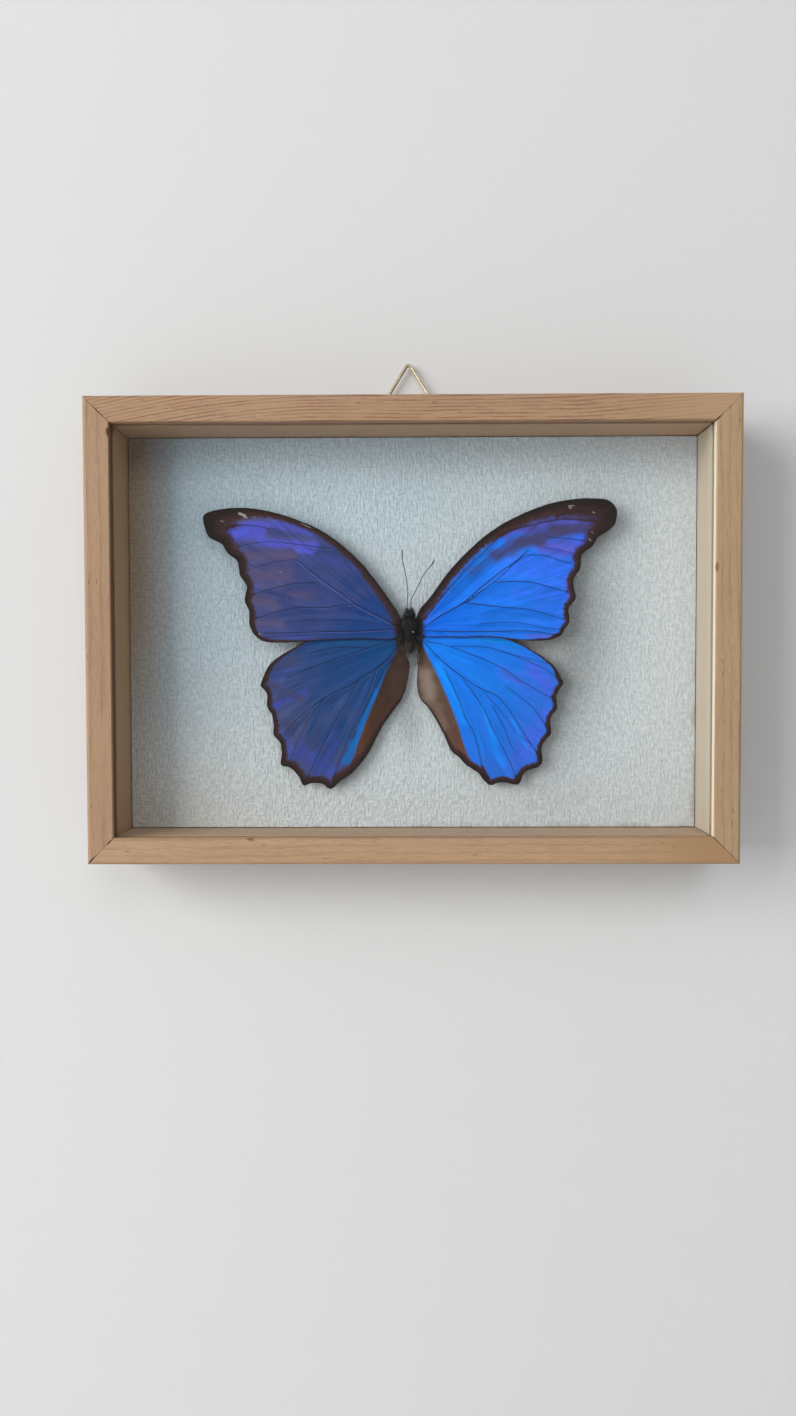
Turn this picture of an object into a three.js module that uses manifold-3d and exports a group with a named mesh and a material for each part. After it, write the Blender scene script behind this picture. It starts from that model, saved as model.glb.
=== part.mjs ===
// A framed butterfly specimen: a blue morpho pinned behind glass in a shallow wooden box frame,
// hung by a wire triangle on the back of its top rail. Millimetres, +Z up, the glass faces -Y.
// The origin is the point where a wall nail bears, inside the bend at the top of the wire triangle.

import * as THREE from "three";
import { mergeVertices } from "three/addons/utils/BufferGeometryUtils.js";
import Module from "manifold-3d";

const wasm = await Module();
wasm.setup();

// ---------------------------------------------------------------- driving dimensions

const FRAME_WIDTH = 210;
const FRAME_HEIGHT = 150;
const RAIL_WIDTH = 8.6; // on the face
const RAIL_DEPTH = 27;
const CARD_DEPTH = 23.5; // from the front face to the white card
const GLASS_DEPTH = 4; // from the front face to the groove that holds the pane
const GLASS_THICKNESS = 2;
const BOARD_THICKNESS = 3;
const WIRE_RADIUS = 0.55;
const RING_ABOVE_FRAME = 18.5; // where the triangle's sides would cross, over the top rail
const RING_BELOW_EDGE = 3; // the base bar, under the top rail's upper edge
const RING_SIDE_SLOPE = 0.617; // half-width lost for each millimetre of height
const RING_OFF_CENTRE = -1.05; // the hanger sits a little left of the middle
const BODY_X = -0.95; // the insect's midline, from the middle of the frame
const WING_DEPTH = 14.4; // wing bases, where the insect is drawn
const INSECT_SIZE = 1.0141; // the drawn insect is set this much larger
const INSECT_SHIFT = [0.02, 4.79, 0.18]; // and moved by this, so its wings lie close over the card

const SHEET_GAP = 0.1; // between sheets that lie on each other
const CUT_GAP = 0.3; // around a piece in its hole or groove

// ---------------------------------------------------------------- worked-out places

const HALF_WIDTH = FRAME_WIDTH / 2;
const HALF_HEIGHT = FRAME_HEIGHT / 2;
const OPENING_WIDTH = FRAME_WIDTH - 2 * RAIL_WIDTH;
const OPENING_HEIGHT = FRAME_HEIGHT - 2 * RAIL_WIDTH;
const GROOVE_WIDTH = GLASS_THICKNESS + 2 * CUT_GAP;
const GROOVE_CUT = 2.2;
const BOARD_FRONT = RAIL_DEPTH + SHEET_GAP;
const BOARD_BACK = BOARD_FRONT + BOARD_THICKNESS;
const KNUCKLE_INNER = WIRE_RADIUS + CUT_GAP;
const KNUCKLE_OUTER = KNUCKLE_INNER + 0.6;
const RING_PLANE = BOARD_BACK + SHEET_GAP + KNUCKLE_OUTER; // depth of the wire triangle
const APEX_BEND = 1; // bend radius of the wire's middle line
const HALF_APEX = Math.atan(RING_SIDE_SLOPE);
const BEND_DROP = APEX_BEND / Math.sin(HALF_APEX) - APEX_BEND;
const NAIL_ABOVE_FRAME = RING_ABOVE_FRAME - BEND_DROP - WIRE_RADIUS;

// ---------------------------------------------------------------- finishes

const finish = (color, roughness, metalness = 0) =>
  new THREE.MeshStandardMaterial({ color, roughness, metalness });
const PINE = finish(0xc09a78, 0.6);
const GLASS = new THREE.MeshStandardMaterial({
  color: 0xe8f2f0,
  roughness: 0.05,
  transparent: true,
  opacity: 0.2,
});
const CARD = finish(0xdfe3e4, 0.85);
const FOAM = finish(0xf0f0ec, 0.9);
const HARDBOARD = finish(0x8a6544, 0.8);
const BRASS = finish(0xc8a35a, 0.3, 0.9);
const STEEL = finish(0x9a9a9c, 0.35, 0.9);
const WING_RIGHT = finish(0x1f6be0, 0.35, 0.3);
const WING_LEFT = finish(0x2a3f8c, 0.35, 0.3);
const FUR = finish(0x241c18, 0.9);
const CHITIN = finish(0x1c1614, 0.5);

// ---------------------------------------------------------------- shared makers

// The framed box keeps its own frame: x from its middle, y back from its front face, z from its middle.
const box = new THREE.Group();
box.position.set(-RING_OFF_CENTRE, -RING_PLANE, -(HALF_HEIGHT + NAIL_ABOVE_FRAME));

function addPiece(name, geometry, material) {
  const mesh = new THREE.Mesh(geometry, material);
  mesh.name = name;
  box.add(mesh);
  return mesh;
}

// A three.js geometry as a manifold solid, for joining and cutting.
function solidOf(geometry) {
  const bare = new THREE.BufferGeometry();
  bare.setAttribute("position", geometry.getAttribute("position").clone());
  if (geometry.index) bare.setIndex(geometry.index.clone());
  const merged = mergeVertices(bare, 1e-4);
  return new wasm.Manifold(
    new wasm.Mesh({
      numProp: 3,
      vertProperties: new Float32Array(merged.getAttribute("position").array),
      triVerts: new Uint32Array(merged.index.array),
    }),
  );
}

function geometryOf(solid) {
  const mesh = solid.getMesh();
  const geometry = new THREE.BufferGeometry();
  geometry.setAttribute("position", new THREE.BufferAttribute(mesh.vertProperties, mesh.numProp));
  geometry.setIndex(new THREE.BufferAttribute(mesh.triVerts, 1));
  return geometry;
}

const join = (geometries) => geometryOf(geometries.map(solidOf).reduce((all, next) => all.add(next)));
const cut = (geometry, tools) =>
  geometryOf(tools.map(solidOf).reduce((rest, tool) => rest.subtract(tool), solidOf(geometry)));

// A rod along the depth, from one depth to another.
function depthRod(x, z, radius, from, to, sides = 8) {
  const rod = new THREE.CylinderGeometry(radius, radius, to - from, sides);
  return rod.translate(x, (from + to) / 2, z);
}

// A flat sheet seen from the front, between two depths.
function sheet(width, height, from, to) {
  return new THREE.BoxGeometry(width, to - from, height).translate(0, (from + to) / 2, 0);
}

// An outline drawn in depth and height, drawn out along x about the middle.
function acrossX(shape, width) {
  const geometry = new THREE.ExtrudeGeometry(shape, { depth: width, bevelEnabled: false, curveSegments: 8 });
  geometry.translate(0, 0, -width / 2);
  const depthHeightToFrame = new THREE.Matrix4().set(0, 0, 1, 0, 1, 0, 0, 0, 0, 1, 0, 0, 0, 0, 0, 1);
  return geometry.applyMatrix4(depthHeightToFrame);
}

// A wire or stalk of one thickness along a curve.
function wire(path, radius, sides, steps) {
  const section = new THREE.Shape();
  for (let i = 0; i < sides; i++) {
    const angle = (2 * Math.PI * i) / sides;
    const place = [radius * Math.cos(angle), radius * Math.sin(angle)];
    if (i === 0) section.moveTo(...place);
    else section.lineTo(...place);
  }
  section.closePath();
  return new THREE.ExtrudeGeometry(section, { extrudePath: path, steps, bevelEnabled: false });
}

// ---------------------------------------------------------------- wooden rails

// The rail's section: w runs in from the frame's outer edge, d back from its front face.
function railSection() {
  const roundOver = 1.2;
  const arris = 0.3;
  const section = new THREE.Shape();
  section.moveTo(roundOver, 0);
  section.lineTo(RAIL_WIDTH - arris, 0);
  section.lineTo(RAIL_WIDTH, arris);
  section.lineTo(RAIL_WIDTH, GLASS_DEPTH);
  section.lineTo(RAIL_WIDTH - GROOVE_CUT, GLASS_DEPTH);
  section.lineTo(RAIL_WIDTH - GROOVE_CUT, GLASS_DEPTH + GROOVE_WIDTH);
  section.lineTo(RAIL_WIDTH, GLASS_DEPTH + GROOVE_WIDTH);
  section.lineTo(RAIL_WIDTH, RAIL_DEPTH);
  section.lineTo(0, RAIL_DEPTH);
  section.lineTo(0, roundOver);
  section.absarc(roundOver, roundOver, roundOver, Math.PI, 1.5 * Math.PI, false);
  return section;
}

// One rail lying along x under the top edge at z = 0, its ends mitred at 45 degrees.
function mitredRail(length) {
  const rail = new THREE.ExtrudeGeometry(railSection(), {
    depth: 2,
    bevelEnabled: false,
    curveSegments: 4,
  });
  const place = rail.getAttribute("position");
  for (let i = 0; i < place.count; i++) {
    const w = place.getX(i);
    const d = place.getY(i);
    const end = place.getZ(i) > 1 ? 1 : -1;
    place.setXYZ(i, end * (length / 2 - w - CUT_GAP / 2), d, -w);
  }
  return rail;
}

// Brads that hold the back board: [x, z] of each head, on the middle of a rail.
const BRAD_INSET = 4;
const brads = [];
for (const side of [-1, 1]) {
  for (const along of [-0.86, -0.3, 0.3, 0.86]) {
    brads.push([along * HALF_WIDTH, side * (HALF_HEIGHT - BRAD_INSET)]);
  }
  for (const along of [-0.42, 0.42]) brads.push([side * (HALF_WIDTH - BRAD_INSET), along * HALF_HEIGHT]);
}
const STRAP_NAIL_SPREAD = 2.6;
const STRAP_NAIL_DROP = 4;
const ringBaseZ = HALF_HEIGHT - RING_BELOW_EDGE;
const strapNails = [-1, 1].map((side) => [
  RING_OFF_CENTRE + side * STRAP_NAIL_SPREAD,
  ringBaseZ - STRAP_NAIL_DROP,
]);

const SHANK_RADIUS = 0.55;
const SHANK_DEPTH = 7; // into the rail
const HEAD_THICKNESS = 0.5;
const BRAD_HEAD = 1.1;
const BRAD_SINK = 0.05; // the brads are driven in until their heads are just under the board's face
const bradHeadFace = BOARD_BACK - BRAD_SINK - HEAD_THICKNESS;
const nailHoles = [...brads, ...strapNails].map(([x, z]) =>
  depthRod(x, z, SHANK_RADIUS + CUT_GAP, RAIL_DEPTH - SHANK_DEPTH - CUT_GAP, BOARD_BACK + 2),
);

const rails = [
  ["rail_top", FRAME_WIDTH, HALF_HEIGHT, 0],
  ["rail_right", FRAME_HEIGHT, HALF_WIDTH, 1],
  ["rail_bottom", FRAME_WIDTH, HALF_HEIGHT, 2],
  ["rail_left", FRAME_HEIGHT, HALF_WIDTH, 3],
];
for (const [name, length, out, quarterTurns] of rails) {
  const rail = mitredRail(length).translate(0, 0, out);
  rail.rotateY((quarterTurns * Math.PI) / 2);
  addPiece(name, cut(rail, nailHoles), PINE);
}

// ---------------------------------------------------------------- glass, card, foam and back board

const PANE_BITE = 1.8; // how far the pane reaches into each groove
const paneFront = GLASS_DEPTH + CUT_GAP;
addPiece(
  "glass_pane",
  sheet(
    OPENING_WIDTH + 2 * PANE_BITE,
    OPENING_HEIGHT + 2 * PANE_BITE,
    paneFront,
    paneFront + GLASS_THICKNESS,
  ),
  GLASS,
);

const PIN_RADIUS = 0.25;
const PIN_X = BODY_X + 1.2;
const PIN_Z = 0.3;
const pinHole = depthRod(PIN_X, PIN_Z, PIN_RADIUS + CUT_GAP, 8, RAIL_DEPTH - 0.6);
const CARD_THICKNESS = 0.8;
const cardBack = CARD_DEPTH + CARD_THICKNESS;
const liningWidth = OPENING_WIDTH - 2 * CUT_GAP;
const liningHeight = OPENING_HEIGHT - 2 * CUT_GAP;
addPiece("backing_card", cut(sheet(liningWidth, liningHeight, CARD_DEPTH, cardBack), [pinHole]), CARD);
addPiece(
  "pinning_foam",
  cut(sheet(liningWidth, liningHeight, cardBack + SHEET_GAP, RAIL_DEPTH), [pinHole]),
  FOAM,
);
const BOARD_INSET = 0.5;
const bradSeats = brads.map(([x, z]) =>
  depthRod(x, z, BRAD_HEAD + CUT_GAP, bradHeadFace - SHEET_GAP, BOARD_BACK + 2),
);
addPiece(
  "back_board",
  cut(
    sheet(FRAME_WIDTH - 2 * BOARD_INSET, FRAME_HEIGHT - 2 * BOARD_INSET, BOARD_FRONT, BOARD_BACK),
    [...nailHoles, ...bradSeats],
  ),
  HARDBOARD,
);

// ---------------------------------------------------------------- nails and hanger

// A flat-headed nail driven from the back; its head lies on a face at the given depth.
function nail(x, z, headFace, headRadius) {
  const point = RAIL_DEPTH - SHANK_DEPTH;
  const profile = [
    [0, point],
    [SHANK_RADIUS, point + 1.2],
    [SHANK_RADIUS, headFace],
    [headRadius, headFace],
    [headRadius, headFace + HEAD_THICKNESS],
    [0, headFace + HEAD_THICKNESS],
  ].map(([radius, depth]) => new THREE.Vector2(radius, depth));
  return new THREE.LatheGeometry(profile, 8).translate(x, 0, z);
}
brads.forEach(([x, z], i) => {
  addPiece(`board_brad_${i + 1}`, nail(x, z, bradHeadFace, BRAD_HEAD), STEEL);
});

const STRAP_THICKNESS = 0.7;
const STRAP_WIDTH = 10;
const STRAP_LENGTH = 7;
const strapFront = BOARD_BACK + SHEET_GAP;
const strapBack = strapFront + STRAP_THICKNESS;

// The brass strap: a plate that turns over into a knuckle around the triangle's base bar.
function strapShape() {
  const meet = Math.acos((strapBack - RING_PLANE) / KNUCKLE_OUTER);
  const shape = new THREE.Shape();
  shape.moveTo(strapFront, ringBaseZ - STRAP_LENGTH);
  shape.lineTo(strapBack, ringBaseZ - STRAP_LENGTH);
  shape.absarc(RING_PLANE, ringBaseZ, KNUCKLE_OUTER, -meet, Math.PI, false);
  shape.closePath();
  const bore = new THREE.Path();
  bore.absarc(RING_PLANE, ringBaseZ, KNUCKLE_INNER, 0, 2 * Math.PI, true);
  shape.holes.push(bore);
  return shape;
}
const strapHoles = strapNails.map(([x, z]) =>
  depthRod(x, z, SHANK_RADIUS + CUT_GAP, strapFront - 1, strapBack + 1),
);
addPiece(
  "hanger_strap",
  cut(acrossX(strapShape(), STRAP_WIDTH).translate(RING_OFF_CENTRE, 0, 0), strapHoles),
  BRASS,
);
strapNails.forEach(([x, z], i) => {
  addPiece(`hanger_nail_${i + 1}`, nail(x, z, strapBack + SHEET_GAP, 1.3), BRASS);
});

// The wire triangle: its ends meet with a small split in the middle of the base bar.
function ringPath() {
  const top = HALF_HEIGHT + RING_ABOVE_FRAME;
  const halfBase = RING_SIDE_SLOPE * (top - ringBaseZ);
  const split = 0.4;
  const baseBend = 1.6;
  const place = (x, z) => new THREE.Vector3(RING_OFF_CENTRE + x, RING_PLANE, z);
  const apex = place(0, top);
  const corners = [place(halfBase, ringBaseZ), apex, place(-halfBase, ringBaseZ)];
  const path = new THREE.CurvePath();
  let from = place(split / 2, ringBaseZ);
  corners.forEach((corner, i) => {
    const next = corners[i + 1] ?? place(-split / 2, ringBaseZ);
    const back = from.clone().sub(corner).normalize();
    const on = next.clone().sub(corner).normalize();
    const radius = corner === apex ? APEX_BEND : baseBend;
    const reach = radius / Math.tan(back.angleTo(on) / 2);
    const start = corner.clone().addScaledVector(back, reach);
    const end = corner.clone().addScaledVector(on, reach);
    const middle = back.clone().add(on).normalize();
    const centre = corner.clone().addScaledVector(middle, radius / Math.sin(back.angleTo(on) / 2));
    path.add(new THREE.LineCurve3(from, start));
    path.add(new BendCurve(centre, start, end));
    from = end;
  });
  path.add(new THREE.LineCurve3(from, place(-split / 2, ringBaseZ)));
  return path;
}

// A round bend about a centre, from one point to another at the same distance.
class BendCurve extends THREE.Curve {
  constructor(centre, start, end) {
    super();
    this.centre = centre;
    this.from = start.clone().sub(centre);
    this.to = end.clone().sub(centre);
    this.turn = this.from.angleTo(this.to);
  }

  getPoint(t, target = new THREE.Vector3()) {
    const share = Math.sin(this.turn);
    return target
      .copy(this.centre)
      .addScaledVector(this.from, Math.sin((1 - t) * this.turn) / share)
      .addScaledVector(this.to, Math.sin(t * this.turn) / share);
  }
}
addPiece("hanger_ring", wire(ringPath(), WIRE_RADIUS, 8, 84), BRASS);

// ---------------------------------------------------------------- wings

// Each outline runs from the front edge's root round the scalloped margin and back to the body,
// as [x, z] from the middle of the frame; a smooth curve joins the points.
const FOREWING_RIGHT = {
  root: [2.5, 2.6],
  outline: [
    [1.7, 6.1], [5.9, 11.7], [12.5, 20.6], [19.1, 27.5], [25.7, 33], [32.3, 37], [38.9, 40],
    [45.5, 42.2], [52.1, 43.5], [58.7, 43.8], [64.6, 43.1], [66.9, 40.8], [67.4, 39.1],
    [66.6, 35.2], [63.7, 32.6], [61.1, 30.9], [59.4, 28.2], [55.8, 25.2], [55.5, 21.1],
    [53.3, 17.5], [53.2, 15.2], [53.9, 11], [51.6, 7.6], [51.9, 3.3], [50.4, 1], [49.3, -1],
    [45.3, -2.7], [35.7, -2.8], [25.8, -1.6], [12.5, -1.6], [1.9, -0.5],
  ],
};
const FOREWING_LEFT = {
  root: [-4.4, 1.6],
  outline: [
    [-3.7, 4.3], [-7.4, 10.7], [-12.7, 18], [-16.6, 22.8], [-22.6, 28.4], [-29.8, 33.6],
    [-37.1, 36.9], [-43.7, 39.1], [-50.3, 40.6], [-57, 41.2], [-63.6, 40.6], [-68.3, 39.2],
    [-69.1, 38], [-68.3, 34.1], [-67, 31.4], [-63, 29.4], [-61.1, 26.3], [-57.8, 23.5],
    [-57.1, 19.2], [-54.8, 15.2], [-55.5, 10.5], [-54.1, 7.2], [-53.9, 2.3], [-52, -1.1],
    [-49.3, -2.9], [-42.7, -3.4], [-30.7, -2.6], [-17.4, -2], [-4.8, -1.5],
  ],
};
const HINDWING_RIGHT = {
  root: [3.6, -3],
  outline: [
    [2.9, -2.3], [12.5, 1.4], [22.5, 1.1], [30.8, -1.8], [35.8, -3.9], [42.5, -7.6],
    [46.4, -10.6], [48.4, -13.3], [50.1, -16.9], [48.6, -19.3], [47.8, -21.6], [48.1, -25.3],
    [46.3, -27.6], [45.8, -29.6], [46, -33.9], [44.2, -35.8], [43, -38.3], [43.2, -43.3],
    [41.9, -44.9], [38.9, -45.8], [36.9, -47.3], [35.5, -50.5], [33.9, -50.8], [30.5, -50],
    [28.2, -50.3], [25.9, -51], [23.9, -49.6], [21.8, -46.9], [17.8, -44.2], [15.5, -41.7],
    [13.2, -39.9], [9.8, -32.9], [5.8, -26], [2.5, -21.8], [1.5, -17.8], [1.9, -10.8],
    [2.4, -6.5],
  ],
};
const HINDWING_LEFT = {
  root: [-5.6, -3.6],
  outline: [
    [-4.6, -3], [-15.8, 0.9], [-25.8, 0.6], [-33.4, -1.4], [-38.8, -4.6], [-44.1, -7.7],
    [-47.5, -10.5], [-50, -15.4], [-50.6, -17.4], [-48.6, -20], [-48.4, -24.7], [-46.9, -27.4],
    [-46.3, -30.4], [-46.3, -34.1], [-44.3, -36.4], [-43.7, -40.1], [-43.9, -44.1], [-41, -45],
    [-37.9, -48.2], [-36.4, -51], [-33.7, -50.2], [-30.3, -50.5], [-27.3, -52.2],
    [-24.3, -49.7], [-20.3, -46.9], [-16.6, -42.8], [-14.2, -39.5], [-9.9, -31.1],
    [-6.2, -25.8], [-3.2, -21.5], [-1.8, -17.1], [-0.9, -10], [-1.9, -8], [-3.6, -5.6],
  ],
};

const WING_THICKNESS = 0.35;
const FOREWING_RISE = 0.02; // towards the glass, for each millimetre out from the body
const HINDWING_RISE = 0.014;
const HINDWING_DROP = 0.9; // the hindwings lie behind the forewings
const FOLD_SLOPE = 0.3; // the fold's line leans out from the body by this much for each millimetre down
const FOLD_START = 4.2;
const FOLD_CURL = 0.16; // how far the hind edge beside the body curls back

const forewingDepth = (x) => WING_DEPTH - FOREWING_RISE * Math.abs(x - BODY_X);
function hindwingDepth(x, z) {
  const out = Math.abs(x - BODY_X);
  const inside = Math.max(0, FOLD_START - FOLD_SLOPE * Math.min(0, z) - out);
  return WING_DEPTH + HINDWING_DROP - HINDWING_RISE * out + FOLD_CURL * inside;
}

// Sets drawn insect geometry in its place over the card.
const overCard = (geometry) =>
  geometry.scale(INSECT_SIZE, INSECT_SIZE, INSECT_SIZE).translate(...INSECT_SHIFT);

// A thin wing: rings of points between its root and its outline, front and back, with a rim.
function wing({ root, outline }, depthAt) {
  const points = outline.map(([x, z]) => new THREE.Vector3(x, 0, z));
  const rim = new THREE.CatmullRomCurve3(points, true, "centripetal").getPoints(outline.length * 2);
  rim.pop();
  const rings = [0.4, 0.75, 1];
  const place = [];
  for (const face of [-1, 1]) {
    const offset = (face * WING_THICKNESS) / 2;
    place.push(root[0], depthAt(...root) + offset, root[1]);
    for (const share of rings) {
      for (const point of rim) {
        const x = root[0] + share * (point.x - root[0]);
        const z = root[1] + share * (point.z - root[1]);
        place.push(x, depthAt(x, z) + offset, z);
      }
    }
  }
  const count = rim.length;
  const layer = 1 + rings.length * count;
  const at = (face, ring, i) => face * layer + 1 + ring * count + (i % count);
  const faces = [];
  const add = (face, a, b, c) => faces.push(a, ...(face ? [c, b] : [b, c]));
  for (let i = 0; i < count; i++) {
    for (const face of [0, 1]) {
      add(face, face * layer, at(face, 0, i), at(face, 0, i + 1));
      for (let ring = 1; ring < rings.length; ring++) {
        add(face, at(face, ring - 1, i), at(face, ring, i), at(face, ring, i + 1));
        add(face, at(face, ring - 1, i), at(face, ring, i + 1), at(face, ring - 1, i + 1));
      }
    }
    const last = rings.length - 1;
    faces.push(at(0, last, i), at(1, last, i), at(1, last, i + 1));
    faces.push(at(0, last, i), at(1, last, i + 1), at(0, last, i + 1));
  }
  const turns = THREE.ShapeUtils.area(rim.map((p) => new THREE.Vector2(p.x, p.z)));
  if (turns < 0) faces.reverse();
  const geometry = new THREE.BufferGeometry();
  geometry.setAttribute("position", new THREE.Float32BufferAttribute(place, 3));
  geometry.setIndex(faces);
  return geometry;
}
addPiece("forewing_right", overCard(wing(FOREWING_RIGHT, forewingDepth)), WING_RIGHT);
addPiece("forewing_left", overCard(wing(FOREWING_LEFT, forewingDepth)), WING_LEFT);
addPiece("hindwing_right", overCard(wing(HINDWING_RIGHT, hindwingDepth)), WING_RIGHT);
addPiece("hindwing_left", overCard(wing(HINDWING_LEFT, hindwingDepth)), WING_LEFT);

// ---------------------------------------------------------------- body, antennae, legs and pin

const ball = (x, depth, z, halfWidth, halfDepth, halfHeight, sides = 12) =>
  overCard(
    new THREE.SphereGeometry(1, sides, sides * 0.75)
      .scale(halfWidth, halfDepth, halfHeight)
      .translate(x, depth, z),
  );

// Head with its eyes and two palps, thorax, and the short stump where the abdomen was.
function insectBody() {
  const head = ball(BODY_X, WING_DEPTH - 0.4, 5.9, 1.6, 1.7, 1.5);
  const eyes = [-1, 1].map((side) => ball(BODY_X + side * 1.35, WING_DEPTH - 0.4, 5.7, 0.95, 1.2, 1.1, 8));
  const palps = [-1, 1].map((side) =>
    ball(BODY_X + side * 0.95, WING_DEPTH - 1.5, 7.1, 0.45, 0.5, 1.3, 8),
  );
  const thorax = ball(BODY_X, WING_DEPTH + 0.2, 0.8, 2.3, 2.4, 5, 16);
  const stump = ball(BODY_X, WING_DEPTH + 0.3, -3.9, 1.7, 1.8, 3);
  return cut(join([thorax, head, ...eyes, ...palps, stump]), [pinHole]);
}
addPiece("insect_body", insectBody(), FUR);

const ANTENNA_DEPTH = WING_DEPTH - 0.4;
const antennae = {
  antenna_left: [[-1.7, 7.7], [-1.5, 13.6], [-1.8, 16.4], [-2.3, 19.6], [-3.2, 24], [-3.3, 27.3]],
  antenna_right: [[-0.5, 7.7], [-0.3, 10.7], [1.2, 13.9], [2.8, 17], [4.2, 19.6], [6.3, 22.1], [7.3, 23.8]],
};
for (const [name, route] of Object.entries(antennae)) {
  const path = new THREE.CatmullRomCurve3(route.map(([x, z]) => new THREE.Vector3(x, ANTENNA_DEPTH, z)));
  addPiece(name, overCard(wire(path, 0.2, 6, 20)), CHITIN);
}

// Four legs folded flat under the thorax, between the wings and the card.
for (const [pair, z, wide] of [["middle", 2, 1.4], ["hind", -1.6, 0.75]]) {
  for (const [side, out] of [["left", -1], ["right", 1]]) {
    const knee = [
      [1.2, 3, 0],
      [1.2 + 2 * wide, 3.15, -1.4],
      [1.2 + 2.6 * wide, 3.25, -4.6],
      [1.2 + 1.8 * wide, 3.35, -7.6],
      [1.2 + 2.6 * wide, 3.4, -9.6],
    ].map(([x, back, down]) => new THREE.Vector3(BODY_X + out * x, WING_DEPTH + back, z + down));
    const path = new THREE.CatmullRomCurve3(knee);
    addPiece(`leg_${pair}_${side}`, overCard(wire(path, 0.3, 6, 14)), CHITIN);
  }
}

const PIN_PROUD = 16.2; // depth of its cut end, just clear of the fur
addPiece("insect_pin", depthRod(PIN_X, PIN_Z, PIN_RADIUS, PIN_PROUD, RAIL_DEPTH - 1), STEEL);

const specimen = new THREE.Group();
specimen.add(box);
export default specimen;
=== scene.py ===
"""Dresses the framed butterfly specimen: pine box frame, glass, embossed card, blue butterfly, brass hanger.

Sizes are millimetres in the framed box's own place: x from its middle, depth back from its front face and
z from its middle. BoxPlace turns them into metres in the row frame.
"""

import logging
import math
from collections.abc import Sequence
from dataclasses import dataclass, field
from enum import Enum

import bmesh
import bpy
import numpy as np
from mathutils import Euler, Matrix, Vector


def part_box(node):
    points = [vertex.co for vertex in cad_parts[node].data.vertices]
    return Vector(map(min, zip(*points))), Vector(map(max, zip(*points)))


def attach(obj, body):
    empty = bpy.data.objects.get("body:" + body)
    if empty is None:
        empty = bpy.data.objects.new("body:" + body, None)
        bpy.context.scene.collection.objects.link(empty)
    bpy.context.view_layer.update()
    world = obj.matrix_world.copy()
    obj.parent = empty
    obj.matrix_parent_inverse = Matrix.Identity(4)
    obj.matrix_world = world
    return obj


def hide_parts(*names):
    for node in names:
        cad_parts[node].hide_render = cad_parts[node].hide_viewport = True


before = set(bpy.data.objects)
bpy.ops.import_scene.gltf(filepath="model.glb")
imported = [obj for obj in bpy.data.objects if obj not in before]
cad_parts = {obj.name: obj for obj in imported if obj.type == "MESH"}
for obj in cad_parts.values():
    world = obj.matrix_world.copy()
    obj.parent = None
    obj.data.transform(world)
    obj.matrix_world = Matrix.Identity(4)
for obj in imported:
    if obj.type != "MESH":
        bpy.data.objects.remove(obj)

log = logging.getLogger("specimen")

MM = 0.001
BOX_BODY = "framed_box"
RING_BODY = "wire_triangle"

# ------------------------------------------------------------------ sizes shared with the solids, mm

FRAME_WIDTH = 210.0
FRAME_HEIGHT = 150.0
RAIL_WIDTH = 8.6
RAIL_DEPTH = 27.0
GLASS_DEPTH = 4.0
GROOVE_WIDTH = 2.6
GROOVE_CUT = 2.2
CARD_DEPTH = 23.5
CARD_THICKNESS = 0.8
LINING_GAP = 0.3
BOARD_FRONT = 27.1
BOARD_BACK = 30.1
BOARD_INSET = 0.5
BODY_X = -0.95
WING_DEPTH = 14.4
HINDWING_DROP = 0.9
INSECT_SIZE = 1.0141
INSECT_SHIFT = (0.02, 4.79, 0.18)
RING_X = -1.05
RING_BASE_Z = 72.0
RING_TOP_Z = 93.5
RING_PLANE = 31.65
WIRE_RADIUS = 0.55

# ------------------------------------------------------------------ colours and places


def paint(red: int, green: int, blue: int) -> tuple[float, float, float, float]:
    """Turns a display colour, 0 to 255, into linear light with full alpha."""
    display = [channel / 255 for channel in (red, green, blue)]
    return (*(v / 12.92 if v <= 0.04045 else ((v + 0.055) / 1.055) ** 2.4 for v in display), 1.0)


@dataclass(frozen=True)
class BoxPlace:
    """Where the framed box stands in the row frame.

    Attributes:
        origin: The middle of the box's front face, in metres.
        size: How much larger its points are made.
    """

    origin: tuple[float, float, float]
    size: float = 1.0

    @classmethod
    def from_rails(cls) -> "BoxPlace":
        """Reads the place from the four rails' own boxes."""
        left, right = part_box("rail_left"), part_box("rail_right")
        low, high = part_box("rail_bottom")[0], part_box("rail_top")[1]
        return cls(((left[0].x + right[1].x) / 2, left[0].y, (low.z + high.z) / 2))

    def metres(self, points: Sequence) -> np.ndarray:
        """Turns one or more (x, depth, z) points in mm into row points in metres."""
        return np.array(self.origin) + np.asarray(points, float) * MM * self.size


PLACE = BoxPlace.from_rails()
LIP_END = PLACE.origin[1] / MM + GLASS_DEPTH + 0.3
INSECT = BoxPlace(tuple(PLACE.metres(INSECT_SHIFT)), INSECT_SIZE)

# ------------------------------------------------------------------ node trees


class Value:
    """What a node puts out; arithmetic on it adds Math nodes."""

    def __init__(self, sketch: "Sketch", socket: bpy.types.NodeSocket) -> None:
        """Keeps the tree and the node's output."""
        self.sketch = sketch
        self.socket = socket

    def __add__(self, other: object) -> "Value":
        """Adds a value."""
        return self.sketch.math("ADD", self, other)

    def __sub__(self, other: object) -> "Value":
        """Takes a value off."""
        return self.sketch.math("SUBTRACT", self, other)

    def __rsub__(self, other: object) -> "Value":
        """Takes this value off a plain one."""
        return self.sketch.math("SUBTRACT", other, self)

    def __mul__(self, other: object) -> "Value":
        """Multiplies by a value."""
        return self.sketch.math("MULTIPLY", self, other)

    def __truediv__(self, other: object) -> "Value":
        """Divides by a value."""
        return self.sketch.math("DIVIDE", self, other)

    def __pow__(self, power: float) -> "Value":
        """Raises to a power."""
        return self.sketch.math("POWER", self, power)

    def __abs__(self) -> "Value":
        """Drops the sign."""
        return self.sketch.math("ABSOLUTE", self)


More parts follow.
